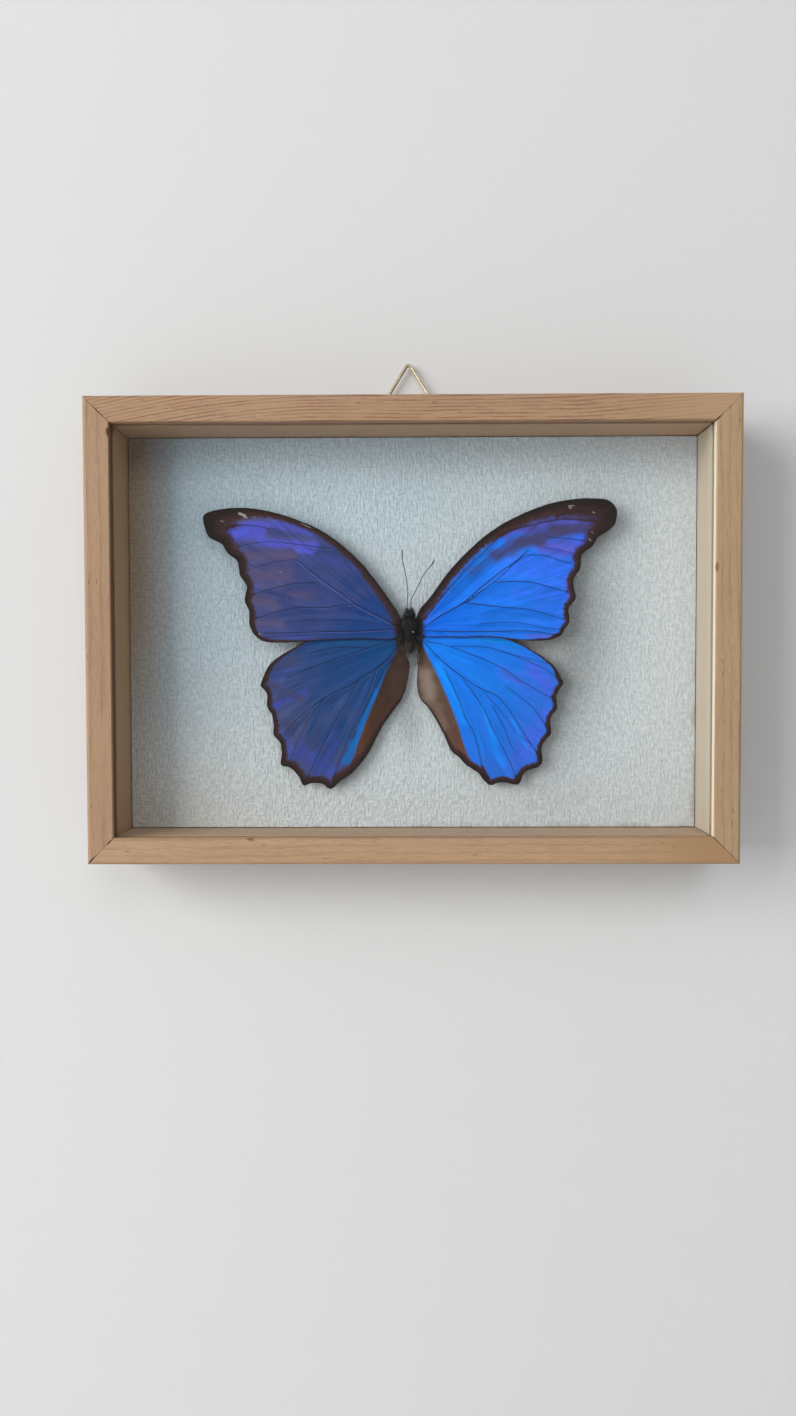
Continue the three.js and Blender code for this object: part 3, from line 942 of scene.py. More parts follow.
def even_path(path: np.ndarray, count: int, closed: bool = False) -> np.ndarray:
    """Spaces a path's points evenly.

    Args:
        path: The path's points.
        count: How many points to return.
        closed: Whether the path closes on its first point.

    Returns:
        The evenly spaced points.
    """
    run = np.vstack([path, path[:1]]) if closed else path
    length = np.r_[0, np.cumsum(np.linalg.norm(np.diff(run, axis=0), axis=1))]
    at = np.linspace(0, length[-1], count, endpoint=not closed)
    return np.stack([np.interp(at, length, axis) for axis in run.T], 1)


def path_gap(points: np.ndarray, path: np.ndarray, signed: bool = False) -> np.ndarray:
    """Measures how far points are from a path in a plane.

    Args:
        points: The points, (n, 2).
        path: The path, (m, 2).
        signed: Whether points to the right of the path's way count as negative.

    Returns:
        One distance for each point.
    """
    best = np.full(len(points), np.inf)
    sign = np.ones(len(points))
    for a, b in zip(path, path[1:]):
        way = b - a
        share = np.clip(((points - a) @ way) / max(way @ way, 1e-12), 0, 1)
        off = points - a - share[:, None] * way
        gap = np.hypot(off[:, 0], off[:, 1])
        nearer = gap < best
        best[nearer] = gap[nearer]
        side = way[0] * (points[:, 1] - a[1]) - way[1] * (points[:, 0] - a[0])
        sign[nearer] = np.where(side[nearer] < 0, -1, 1)
    return best * sign if signed else best


def eased(value: np.ndarray, low: float, high: float) -> np.ndarray:
    """Rises smoothly from 0 at low to 1 at high."""
    share = np.clip((value - low) / (high - low), 0, 1)
    return share * share * (3 - 2 * share)


def bell(value: np.ndarray, width: float, also: np.ndarray | float = 0.0, height: float = 1.0) -> np.ndarray:
    """Falls off on both sides of 0, to about a third at the width, along one axis or two."""
    return np.exp(-((value / width) ** 2) - (also / height) ** 2)


def wavy(points: np.ndarray, size: float, seed: int) -> np.ndarray:
    """Sums slow waves into a smooth random height.

    Args:
        points: Where it is read, (n, axes), mm.
        size: The waves' usual length, mm.
        seed: Fixes the waves.

    Returns:
        A height for each point, about -1 to 1.
    """
    random = np.random.default_rng(seed)
    total = np.zeros(len(points))
    for _ in range(7):
        way = random.normal(size=points.shape[1])
        way *= 2 * math.pi / (size * random.uniform(0.6, 1.8) * np.linalg.norm(way))
        total += np.sin(points @ way + random.uniform(0, 2 * math.pi))
    return total / 3.5


def lattice(x: np.ndarray, z: np.ndarray, size: tuple[float, float], seed: int) -> np.ndarray:
    """Draws smooth random bumps of one size, each column of them shifted.

    Args:
        x: Places across, mm.
        z: Places upwards, mm.
        size: A bump's width and height, mm.
        seed: Fixes the bumps.

    Returns:
        A height for each place, about -1 to 1.
    """
    random = np.random.default_rng(seed)
    heights = random.uniform(-1, 1, (600, 600))
    slip = random.uniform(0, 1, 600)
    u = (x - x.min()) / size[0]
    column = u.astype(int)
    share = eased(u - column, 0, 1)
    total = np.zeros_like(u)
    for side, weight in ((0, 1 - share), (1, share)):
        v = (z - z.min()) / size[1] + slip[column + side]
        row = v.astype(int)
        part = eased(v - row, 0, 1)
        total += weight * ((1 - part) * heights[column + side, row] + part * heights[column + side, row + 1])
    return total


# ------------------------------------------------------------------ geometry node trees


class GrowthTree(NodeGroup):
    """A geometry node tree with named inputs, run on an object and taken off again."""

    def __init__(self, name: str, inputs: dict[str, object]) -> None:
        """Starts the tree, which also takes a geometry and a material."""
        inputs = {"Geometry": "Geometry", **inputs, "Material": "Material"}
        super().__init__(name, "Geometry", inputs, {"Geometry": "Geometry"})

    def swept(self, curve: object, section: object, scale: object) -> Value:
        """Sweeps a section along a curve, closed at its ends."""
        inputs = {"Curve": curve, "Profile Curve": section, "Scale": scale, "Fill Caps": True}
        return self.value("GeometryNodeCurveToMesh", inputs)

    def ended(self, geometry: Value) -> "GrowthTree":
        """Ends the tree in Realize Instances and Set Material."""
        real = self.value("GeometryNodeRealizeInstances", {"Geometry": geometry})
        soft = self.value("GeometryNodeSetShadeSmooth", {"Geometry": real})
        inputs = {"Geometry": soft, "Material": self.given["Material"]}
        self.feed(self.result["Geometry"], self.value("GeometryNodeSetMaterial", inputs))
        return self

    def grow(
        self, name: str, source: bpy.types.Object, material: bpy.types.Material, **values: object
    ) -> bpy.types.Object:
        """Runs the tree on a source and keeps the result as a plain mesh.

        Args:
            name: The new piece's name.
            source: The object that the tree starts from; it is removed.
            material: The result's material.
            **values: The tree's other inputs.

        Returns:
            The new piece.
        """
        modifier = source.modifiers.new(self.tree.name, "NODES")
        modifier.node_group = self.tree
        for label, value in {"Material": material, **values}.items():
            modifier[self.sockets[label]] = value
        return plain_piece(name, source, material)


def tube_tree() -> GrowthTree:
    """Builds the tree that lays a round tube along every curve, as thick as the curve's own radius."""
    tree = GrowthTree("tube_along_path", {"Sides": 8})
    ring = tree.value("GeometryNodeCurvePrimitiveCircle", {"Resolution": tree.given["Sides"], "Radius": 1.0})
    return tree.ended(tree.swept(tree.given["Geometry"], ring, tree.value("GeometryNodeInputRadius")))


def fur_tree() -> GrowthTree:
    """Builds the tree that plants thin tapered hairs on a surface, as dense as its fur attribute says."""
    inputs = {"Density": 20.0, "Length": 1.0, "Thickness": 0.03, "Comb": (0.0, 0.0, -1.0)}
    s = GrowthTree("fur", {**inputs, "Spread": 0.5, "Seed": 1})
    ask, seed = s.given, {"Seed": s.given["Seed"]}
    length = ask["Length"] * MM
    inputs = {
        "Resolution": 4,
        "Start": (0.0, 0.0, 0.0),
        "Middle": s.vector(0.0, 0.0, length * 0.6),
        "End": s.vector(length * 0.35, 0.0, length),
    }
    line = s.value("GeometryNodeCurveQuadraticBezier", inputs)
    section = s.value("GeometryNodeCurvePrimitiveCircle", {"Resolution": 3, "Radius": ask["Thickness"] * MM})
    taper = 1.0 - s.value("GeometryNodeSplineParameter", output="Factor") * 0.85
    hair = s.swept(line, section, taper)
    factor = s.value("GeometryNodeInputNamedAttribute", {"Name": "fur"}, "Attribute", data_type="FLOAT")
    inputs = {"Mesh": ask["Geometry"], **seed}
    scatter = s.node("GeometryNodeDistributePointsOnFaces", inputs, distribute_method="RANDOM")
    s.feed(scatter.inputs["Density"], ask["Density"] * (1 / MM**2) * factor)
    spots = s.values(scatter)
    inputs = {0: (-1.0, -1.0, -1.0), 1: (1.0, 1.0, 1.0), **seed}
    stray = s.value("FunctionNodeRandomValue", inputs, data_type="FLOAT_VECTOR")
    stray = s.value("ShaderNodeVectorMath", {0: stray, "Scale": ask["Spread"]}, operation="SCALE")
    way = s.value("ShaderNodeVectorMath", {0: spots["Normal"], 1: ask["Comb"]}, operation="ADD")
    way = s.value("ShaderNodeVectorMath", {0: way, 1: stray}, operation="ADD")
    stand = s.value("FunctionNodeAlignRotationToVector", {"Factor": 1.0, "Vector": way}, axis="Z")
    size = s.value("FunctionNodeRandomValue", {2: 0.55, 3: 1.15, **seed}, 1, data_type="FLOAT")
    inputs = {"Points": spots["Points"], "Instance": hair, "Rotation": stand, "Scale": size}
    return s.ended(s.value("GeometryNodeInstanceOnPoints", inputs))


def stud_tree() -> GrowthTree:
    """Builds the tree that puts a round-headed nail on every vertex, driven in along the depth."""
    s = GrowthTree("driven_nails", {"Head": 1.1, "Thick": 0.5, "Shank": 0.5, "Length": 7.0})
    head, thick, shank, length = (s.given[name] * MM for name in ("Head", "Thick", "Shank", "Length"))
    corners = [
        (0.0, thick), (head * 0.6, thick), (head * 0.9, thick * 0.9), (head, thick * 0.6), (head, 0.0),
        (shank, 0.0), (shank, length * -0.8), (0.0, length * -1.0),
    ]
    profile = s.node("GeometryNodeJoinGeometry")
    for (r0, h0), (r1, h1) in zip(corners, corners[1:]):
        inputs = {"Vertices": 24, "Radius Top": r0, "Radius Bottom": r1, "Depth": s.math("SUBTRACT", h0, h1)}
        cone = s.value("GeometryNodeMeshCone", inputs, "Mesh", fill_type="NONE")
        move = s.value("GeometryNodeTransform", {"Geometry": cone, "Translation": s.vector(0.0, 0.0, h1)})
        s.feed(profile.inputs[0], move)
    merged = s.value("GeometryNodeMergeByDistance", {"Geometry": profile.outputs[0], "Distance": 1e-6})
    inputs = {"Geometry": merged, "Rotation": Euler((-math.pi / 2, 0.0, 0.0))}
    turned = s.value("GeometryNodeTransform", inputs)
    points = s.value("GeometryNodeMeshToPoints", {"Mesh": s.given["Geometry"]})
    return s.ended(s.value("GeometryNodeInstanceOnPoints", {"Points": points, "Instance": turned}))


TUBE = tube_tree()
FUR = fur_tree()
STUDS = stud_tree()


def tube_piece(
    name: str, paths: Sequence[np.ndarray], radii: Sequence, material: bpy.types.Material,
    sides: int = 8, place: BoxPlace = INSECT,
) -> bpy.types.Object:
    """Lays round tubes along paths.

    Args:
        name: The piece's name.
        paths: Each path's (x, depth, z) points, mm.
        radii: Each path's radius, at every point or for all of it, mm.
        material: The tubes' material.
        sides: Faces round each tube.
        place: What turns the points into metres.

    Returns:
        The piece.
    """
    curve = bpy.data.curves.new(name, "CURVE")
    curve.dimensions = "3D"
    for path, radius in zip(paths, radii):
        spline = curve.splines.new("POLY")
        spline.points.add(len(path) - 1)
        spline.points.foreach_set("co", np.c_[place.metres(path), np.ones(len(path))].ravel())
        spline.points.foreach_set("radius", np.broadcast_to(radius, len(path)).astype(float) * MM)
    return TUBE.grow(name, linked(name + "_path", curve), material, Sides=sides)


def nail_piece(
    name: str, places: Sequence, material: bpy.types.Material, head: float, thick: float, length: float
) -> bpy.types.Object:
    """Drives round-headed nails in from behind.

    Args:
        name: The piece's name.
        places: Where each head sits, (x, depth, z) in mm.
        material: The nails' material.
        head: The heads' radius, mm.
        thick: The heads' thickness, mm.
        length: The shanks' length, mm.

    Returns:
        The piece.
    """
    source = make_piece(name + "_places", PLACE.metres(places), [])
    return STUDS.grow(name, source, material, Head=head, Thick=thick, Shank=0.55, Length=length)


def hand_over(
    piece: bpy.types.Object, slot: str, *nodes: str, body: str = BOX_BODY, sharp: float = 0.0,
    merge: float = 0.0,
) -> None:
    """Rides a finished piece on its body, hides the solids that it replaces, and reports it with its slot and
    what it stands for.

    Args:
        piece: The piece.
        slot: The record's material slot.
        *nodes: The solids that it replaces.
        body: The body that carries it.
        sharp: Settles the piece first: the angle past which an edge stays sharp, degrees; 0 leaves it.
        merge: Vertices nearer than this are merged as it settles, mm.
    """
    if sharp:
        settle(piece, sharp, merge)
    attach(piece, body)
    if nodes:
        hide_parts(*nodes)
    triangles = sum(len(face.vertices) - 2 for face in piece.data.polygons)
    stands_for = ", ".join(nodes) or "nothing"
    log.info("%s: %d triangles on %s, slot %s, for %s", piece.name, triangles, body, slot, stands_for)


def dress_node(node: str, material: bpy.types.Material, slot: str) -> None:
    """Gives a carried-over solid its material and reports its slot."""
    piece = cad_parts[node]
    piece.data.materials.clear()
    piece.data.materials.append(material)
    log.info("%s: kept from the solids, slot %s", node, slot)


# ------------------------------------------------------------------ the wooden frame


class Corner(Enum):
    """The frame's corners, clockwise from the top left; each value is its opening along the mitre.

    A value lists (distance in from the outer edge, half length, width) of each gap in the joint, mm.
    """

    TOP_LEFT = ((5.0, 2.0, 0.26),)
    TOP_RIGHT = ((8.1, 0.8, 0.5),)
    BOTTOM_RIGHT = ((7.2, 2.2, 0.2),)
    BOTTOM_LEFT = ((1.2, 1.2, 0.5), (7.2, 0.7, 0.4))


@dataclass
class Rail:
    """One pine rail of the box frame.

    Attributes:
        node: The solid that it replaces.
        length: Its outer length, mm.
        quarter_turns: How far round the frame it sits, from the top clockwise.
        corners: The corners at its two ends.
        finish: Its wood.
        chips: Places where the inner front edge is bruised: along, half length and depth, mm.
        round_over: The radius of its outer front edge, mm.
        arris: The bevel of its inner front edge, mm.
        seed: Fixes its unevenness.
    """

    node: str
    length: float
    quarter_turns: int
    corners: tuple[Corner, Corner]
    finish: PineFinish
    chips: tuple = ()
    round_over: float = 1.2
    arris: float = 0.3
    seed: int = 1

    def profile(self) -> np.ndarray:
        """Returns the section as (in from the outer edge, depth) points, finely divided."""
        r, wide, deep = self.round_over, RAIL_WIDTH, RAIL_DEPTH
        cut, groove_end = wide - GROOVE_CUT, GLASS_DEPTH + GROOVE_WIDTH
        corners = [
            (r, 0), (wide - self.arris, 0), (wide, self.arris), (wide, GLASS_DEPTH), (cut, GLASS_DEPTH),
            (cut, groove_end), (wide, groove_end), (wide, deep), (0, deep), (0, r),
        ]
        steps = (0.35, 0.15, 0.8, 1.2, 1.4, 1.2, 1.2, 1.4, 1.4)
        made = []
        for (w0, d0), (w1, d1), step in zip(corners, corners[1:], steps):
            count = max(1, round(math.hypot(w1 - w0, d1 - d0) / step))
            made += [(w0 + (w1 - w0) * i / count, d0 + (d1 - d0) * i / count) for i in range(count)]
        made += [(r - r * math.cos(a), r - r * math.sin(a)) for a in np.linspace(0, math.pi / 2, 9)[:-1]]
        return np.array(made)

    @staticmethod
    def mitre_offset(across: np.ndarray, corner: Corner) -> np.ndarray:
        """Returns how far an end stands back from the mitre, for each place across it."""
        tight = 0.03
        return tight + sum(width / 2 * bell(across - place, half) for place, half, width in corner.value)

    def build(self) -> None:
        """Builds the rail."""
        profile = self.profile()
        count = len(profile)
        across, depth = profile.T
        ease = np.linspace(-1, 1, 151)
        share = np.sign(ease) * (1 - (1 - np.abs(ease)) ** 1.15)
        low = -(self.length / 2 - across - self.mitre_offset(across, self.corners[0]))
        high = self.length / 2 - across - self.mitre_offset(across, self.corners[1])
        along = (low + high) / 2 + share[:, None] * (high - low) / 2
        w = np.broadcast_to(across, along.shape).copy()
        d = np.broadcast_to(depth, along.shape).copy()
        flat = np.stack([along.ravel(), w.ravel() * 3, d.ravel() * 3], 1)
        dent = (wavy(flat, 14, self.seed) + wavy(flat, 55, self.seed + 1)).reshape(along.shape)
        worn = np.clip(0.02 + 0.014 * dent, 0, 0.08)
        d += ((depth < 0.5) & (across > 0.6)) * worn
        w += (across < 0.6) * worn
        rough = np.clip(0.1 * wavy(flat, 6, self.seed + 2).reshape(along.shape), 0, 0.25)
        d += bell(w - RAIL_WIDTH, 0.3, d, 0.4) * rough
        bruise = np.zeros_like(along)
        for place, half, bite in self.chips:
            near = np.exp(-(((along - place) / half) ** 4))
            hit = near * bell(w - RAIL_WIDTH, 0.35, d, 0.5)
            bruise += near * bell(w - RAIL_WIDTH, 0.9, d, 1.2)
            d += bite * hit
            w -= 0.6 * bite * hit
        last = (len(ease) - 1) * count
        ends = [list(range(count))[::-1], [last + i for i in range(count)]]
        faces = [*tube_faces(len(ease), count), *ends]
        points = PLACE.metres(self.turned(along, w, d))
        piece = make_piece("pine_" + self.node, points, faces, [self.finish.material()])
        set_attribute(piece.data, "mitre_gap", np.minimum(along - low, high - along).ravel())
        set_attribute(piece.data, "inner", ((w > RAIL_WIDTH - 0.2) & (d > 1.0)).ravel())
        set_attribute(piece.data, "bruise", np.minimum(bruise, 1).ravel())
        hand_over(piece, "pine", self.node, sharp=32)

    def turned(self, along: np.ndarray, across: np.ndarray, depth: np.ndarray) -> np.ndarray:
        """Places rail points in the box, by the rail's side of the frame."""
        out = (FRAME_HEIGHT if self.quarter_turns % 2 == 0 else FRAME_WIDTH) / 2 - across
        x, z = ((along, out), (out, -along), (-along, -out), (-out, along))[self.quarter_turns]
        return np.stack([x.ravel(), depth.ravel(), z.ravel()], 1)


@dataclass
class BoxFrame:
    """The four rails, the glass, the card, the foam, the back board and its brads.

    Attributes:
        card_grid: The card's mesh size across and upwards, mm.
        stroke_size: A usual embossed stroke's width and length, mm.
        thread_size: The weaker cross threads' length and width, mm.
        emboss_depth: How deep the embossing is, mm.
        edge_soft: The bevel round the back board, mm.
        brad_inset: How far the brads stand in from the frame's edge, mm.
        rails: The rails, from the top clockwise.
    """

    card_grid: tuple[float, float] = (0.29, 0.98)
    stroke_size: tuple[float, float] = (0.56, 1.35)
    thread_size: tuple[float, float] = (1.6, 1.0)
    emboss_depth: float = 0.2
    edge_soft: float = 0.35
    brad_inset: float = 4.0
    rails: list[Rail] = field(default_factory=list)

    def __post_init__(self) -> None:
        """Lists the rails with their wood."""
        corners = list(Corner)
        # Each rail's inner wall and the wall in front of its glass get painted light and shade: pale and
        # cream on the right rail, whose inner side faces the light, dark brown on the left.
        woods = [
            PineFinish(
                "pine_top", 0, (-20, 4, 2), paint(160, 129, 99), paint(106, 62, 40), 1.02, (-76, -6), 0.0,
                0.75, paint(184, 150, 121), paint(150, 112, 84), 5.8e-6, (paint(160, 132, 99), 0.7),
            ),
            PineFinish(
                "pine_right", 1, (210, 40, 7), paint(161, 136, 104), paint(122, 84, 58), 2.1, (-52, 40),
                0.004, 0.35, paint(188, 175, 157), paint(226, 214, 190),
            ),
            PineFinish(
                "pine_bottom", 2, (77, 90, 5), paint(165, 136, 104), paint(116, 76, 52), 2.6, (-18, 44),
                0.003, 0.3, paint(186, 156, 128), paint(176, 134, 98), tail=(paint(144, 112, 76), 0.8),
            ),
            PineFinish(
                "pine_left", 3, (140, 12, 3), paint(155, 126, 97), paint(114, 74, 52), 2.3, (-60, 30), 0.005,
                0.35, paint(184, 146, 112), paint(88, 50, 32),
            ),
        ]
        rows = [
            ("rail_top", FRAME_WIDTH, ()),
            ("rail_right", FRAME_HEIGHT, ((-20, 1.4, 0.3),)),
            ("rail_bottom", FRAME_WIDTH, ((52, 1.0, 0.25),)),
            ("rail_left", FRAME_HEIGHT, ((63.5, 1.3, 0.7),)),
        ]
        for i, (node, length, chips) in enumerate(rows):
            ends = (corners[i], corners[(i + 1) % 4])
            self.rails.append(Rail(node, length, i, ends, woods[i], chips, seed=11 + 5 * i))

    def card(self) -> None:
        """Builds the card, embossed with short upright strokes."""
        half_x = FRAME_WIDTH / 2 - RAIL_WIDTH - LINING_GAP
        half_z = FRAME_HEIGHT / 2 - RAIL_WIDTH - LINING_GAP
        wide, tall = round(2 * half_x / self.card_grid[0]) + 1, round(2 * half_z / self.card_grid[1]) + 1
        grid_x, grid_z = np.meshgrid(np.linspace(-half_x, half_x, wide), np.linspace(-half_z, half_z, tall))
        strokes = lattice(grid_x, grid_z, self.stroke_size, 5)
        threads = lattice(grid_x, grid_z, self.thread_size, 6)
        pressed = 1.1 - 0.5 * eased(grid_x - 0.4 * grid_z, -60, 70)
        sunk = self.emboss_depth * pressed * (0.5 + 0.5 * np.tanh(1.3 * strokes + 0.9 * threads))
        front = np.stack([grid_x.ravel(), (CARD_DEPTH + sunk).ravel(), grid_z.ravel()], 1)
        number = np.arange(wide * tall).reshape(tall, wide)
        first = number[:-1, :-1].ravel()
        faces = np.stack([first, first + 1, first + wide + 1, first + wide], 1).tolist()
        rim = [*number[0], *number[1:, -1], *number[-1, -2::-1], *number[-2:0:-1, 0]]
        back = front[rim].copy()
        back[:, 1] = CARD_DEPTH + CARD_THICKNESS
        start = len(front)
        for i, vertex in enumerate(rim):
            after = (i + 1) % len(rim)
            faces.append([rim[after], vertex, start + i, start + after])
        faces.append([start + i for i in range(len(rim))])
        points = np.vstack([front, back])
        piece = make_piece("embossed_card", PLACE.metres(points), faces, [CardFinish().material()])
        x, z = points[:, 0], points[:, 2]
        # Along the left edge, stronger towards the top: painted shade with warm bounce light from the left
        # rail.
        edge = eased(x, 20 - half_x, -half_x) * (0.35 + 0.6 * eased(z, -60, 20))
        # Between the right forewing and hindwing: a painted shadow.
        shadow_and_blot = 0.4 * bell(x - 41, 8, z + 5, 3.5)
        # Darker blotches within a little of the right and bottom edges, on the right half and lower down.
        blot = np.clip(0.6 + 0.6 * wavy(points[:, ::2], 9, 41), 0, 1)
        corner = eased(np.minimum(half_x - x, half_z + z + 0.5), 2.2, 0)
        shadow_and_blot += 0.5 * blot * corner * (x > 0) * eased(z, 20, -40)
        # Beside the right wings and between the hindwings: painted wing shadows.
        beside, between = bell(x - 56 - 0.2 * z, 14, z + 8, 36), 0.7 * bell(x + 1, 5, z + 28, 12)
        set_attribute(piece.data, "shade_and_blots", np.maximum(edge, np.minimum(shadow_and_blot, 1)))
        set_attribute(piece.data, "painted_wing_shadow", np.maximum(beside, between))
        hand_over(piece, "card", "backing_card", sharp=50)

    def board(self) -> None:
        """Builds the hardboard back with softened edges."""
        half_x, half_z = FRAME_WIDTH / 2 - BOARD_INSET, FRAME_HEIGHT / 2 - BOARD_INSET
        work = bmesh.new()
        bmesh.ops.create_cube(work, size=1)
        size = Matrix.Diagonal((2 * half_x * MM, (BOARD_BACK - BOARD_FRONT) * MM, 2 * half_z * MM, 1))
        middle = PLACE.metres((0, (BOARD_FRONT + BOARD_BACK) / 2, 0))
        bmesh.ops.transform(work, matrix=Matrix.Translation(middle) @ size, verts=work.verts)
        bevel = {"offset": self.edge_soft * MM, "segments": 3, "profile": 0.5, "affect": "EDGES"}
        bmesh.ops.bevel(work, geom=work.edges, **bevel)
        brown = BoardFinish("hardboard", paint(140, 104, 72), paint(92, 62, 40)).material()
        hand_over(worked_piece("hardboard_back", work, brown), "hardboard", "back_board", sharp=32)

    def brads(self) -> None:
        """Builds the twelve brads, their heads just under the board's face."""
        seat, half_x, half_z = BOARD_BACK - 0.44, FRAME_WIDTH / 2, FRAME_HEIGHT / 2
        in_x, in_z = half_x - self.brad_inset, half_z - self.brad_inset
        places = []
        for side in (-1, 1):
            places += [(share * half_x, seat, side * in_z) for share in (-0.86, -0.3, 0.3, 0.86)]
            places += [(side * in_x, seat, share * half_z) for share in (-0.42, 0.42)]
        steel = MetalFinish("brad_steel", paint(176, 176, 178), paint(92, 80, 70), 0.32).material()
        piece = nail_piece("board_brads", places, steel, 1.1, 0.45, 9.5)
        hand_over(piece, "steel", *(f"board_brad_{i + 1}" for i in range(len(places))), sharp=40, merge=0.002)

    def build(self) -> None:
        """Builds and dresses the whole box."""
        for rail in self.rails:
            rail.build()
        self.card()
        self.board()
        self.brads()
        dress_node("glass_pane", GlassFinish().material(), "glass")
        foam = BoardFinish("pinning_foam", paint(240, 240, 236), paint(222, 220, 212), 0.85)
        dress_node("pinning_foam", foam.material(), "foam")


# ------------------------------------------------------------------ the hanger


@dataclass
class Hanger:
    """The brass strap with its two nails and the wire triangle that swings in it.

    Attributes:
        side_slope: Half-width that the triangle loses for each mm of height.
        base_bend: Bend radius at the triangle's base, mm.
        apex_bend: Bend radius at its top, mm.
        split: Gap between the wire's ends in the base bar, mm.
        strap_width: The strap's width, mm.
        strap_length: From the base bar to the strap's lower end, mm.
        strap_thickness: The strap's metal, mm.
        sheet_gap: Air behind the board and behind the strap, mm.
    """

    side_slope: float = 0.617
    base_bend: float = 1.6
    apex_bend: float = 1.0
    split: float = 0.4
    strap_width: float = 10.0
    strap_length: float = 7.0
    strap_thickness: float = 0.7
    sheet_gap: float = 0.1

    def wire_path(self) -> np.ndarray:
        """Returns the wire's middle line, from one end in the base bar round the triangle to the other."""
        half = self.side_slope * (RING_TOP_Z - RING_BASE_Z)
        across = (self.split / 2, half, 0, -half, -self.split / 2)
        stops = [np.array((x, RING_BASE_Z if x else RING_TOP_Z), float) for x in across]
        path = [stops[0]]
        for before, corner, after in zip(stops, stops[1:], stops[2:]):
            radius = self.apex_bend if corner[0] == 0 else self.base_bend
            back, on = ((p - corner) / np.linalg.norm(p - corner) for p in (before, after))
            half_angle = math.acos(np.clip(back @ on, -1, 1)) / 2
            start = corner + back * radius / math.tan(half_angle)
            middle = (back + on) / np.linalg.norm(back + on)
            centre = corner + middle * radius / math.sin(half_angle)
            arm = start - centre
            turn = np.sign(arm[1] * back[0] - arm[0] * back[1]) * (math.pi - 2 * half_angle)
            for angle in np.linspace(0, turn, 13):
                c, n = math.cos(angle), math.sin(angle)
                path.append(centre + np.array((c * arm[0] - n * arm[1], n * arm[0] + c * arm[1])))
        flat = np.array([*path, stops[-1]])
        return np.stack([RING_X + flat[:, 0], np.full(len(flat), RING_PLANE), flat[:, 1]], 1)

    def strap(self, brass: bpy.types.Material) -> None:
        """Builds the strap: a plate turned over into a knuckle round the base bar."""
        inner = WIRE_RADIUS + 0.3
        outer = inner + 0.6
        front = BOARD_BACK + self.sheet_gap
        back, low = front + self.strap_thickness, RING_BASE_Z - self.strap_length
        meet = math.acos((back - RING_PLANE) / outer)
        rounds = (
            (outer, np.linspace(-meet, math.pi, 40)),
            (inner, np.linspace(0, 2 * math.pi, 40, endpoint=False)),
        )
        shell, bore = (
            [(RING_PLANE + radius * math.cos(a), RING_BASE_Z + radius * math.sin(a)) for a in angles]
            for radius, angles in rounds
        )
        work = bmesh.new()
        for loop in ([(front, low), (back, low), *shell], bore):
            row = [work.verts.new(PLACE.metres((RING_X - self.strap_width / 2, d, z))) for d, z in loop]
            for a, b in zip(row, row[1:] + row[:1]):
                work.edges.new((a, b))
        bmesh.ops.triangle_fill(work, edges=work.edges, use_beauty=True)
        made = bmesh.ops.extrude_face_region(work, geom=list(work.faces))
        moved = [v for v in made["geom"] if isinstance(v, bmesh.types.BMVert)]
        bmesh.ops.translate(work, verts=moved, vec=(self.strap_width * MM, 0, 0))
        bmesh.ops.recalc_face_normals(work, faces=work.faces)
        bmesh.ops.dissolve_limit(work, angle_limit=0.01, verts=work.verts, edges=work.edges)
        sharp = [e for e in work.edges if len(e.link_faces) == 2 and e.calc_face_angle(0) > 1.0]
        bmesh.ops.bevel(work, geom=sharp, offset=0.1 * MM, segments=2, profile=0.6, affect="EDGES")
        hand_over(worked_piece("brass_strap", work, brass), "brass", "hanger_strap", sharp=30)

    def nails(self, brass: bpy.types.Material) -> None:
        """Builds the strap's two nails."""
        spread, drop = 2.6, 4.0
        head = BOARD_BACK + 2 * self.sheet_gap + self.strap_thickness
        places = [(RING_X + side * spread, head, RING_BASE_Z - drop) for side in (-1, 1)]
        piece = nail_piece("strap_nails", places, brass, 1.3, 0.5, 10.8)
        hand_over(piece, "brass", "hanger_nail_1", "hanger_nail_2", sharp=40, merge=0.002)

    def build(self) -> None:
        """Builds the hanger."""
        brass = MetalFinish("brass", paint(212, 197, 166), paint(126, 108, 80), 0.25).material()
        ring = tube_piece("brass_triangle", [self.wire_path()], [WIRE_RADIUS], brass, 16, PLACE)
        hand_over(ring, "brass", "hanger_ring", body=RING_BODY, sharp=40)
        self.strap(brass)
        self.nails(brass)


# ------------------------------------------------------------------ the wings


class Side(Enum):
    """The insect's side, as seen from the front; the value is its sign along x."""

    LEFT = -1
    RIGHT = 1


@dataclass(frozen=True)
class Vein:
    """A vein of the wing.

    Attributes:
        route: Its (x, z) points from the body outwards, mm.
        thick: Its radius at the body's end, mm.
        dark: How strongly its dark line shows.
        pale: How strongly the painted highlight on its crest shows.
    """

    route: tuple
    thick: float = 0.14
    dark: float = 0.8
    pale: float = 0.15


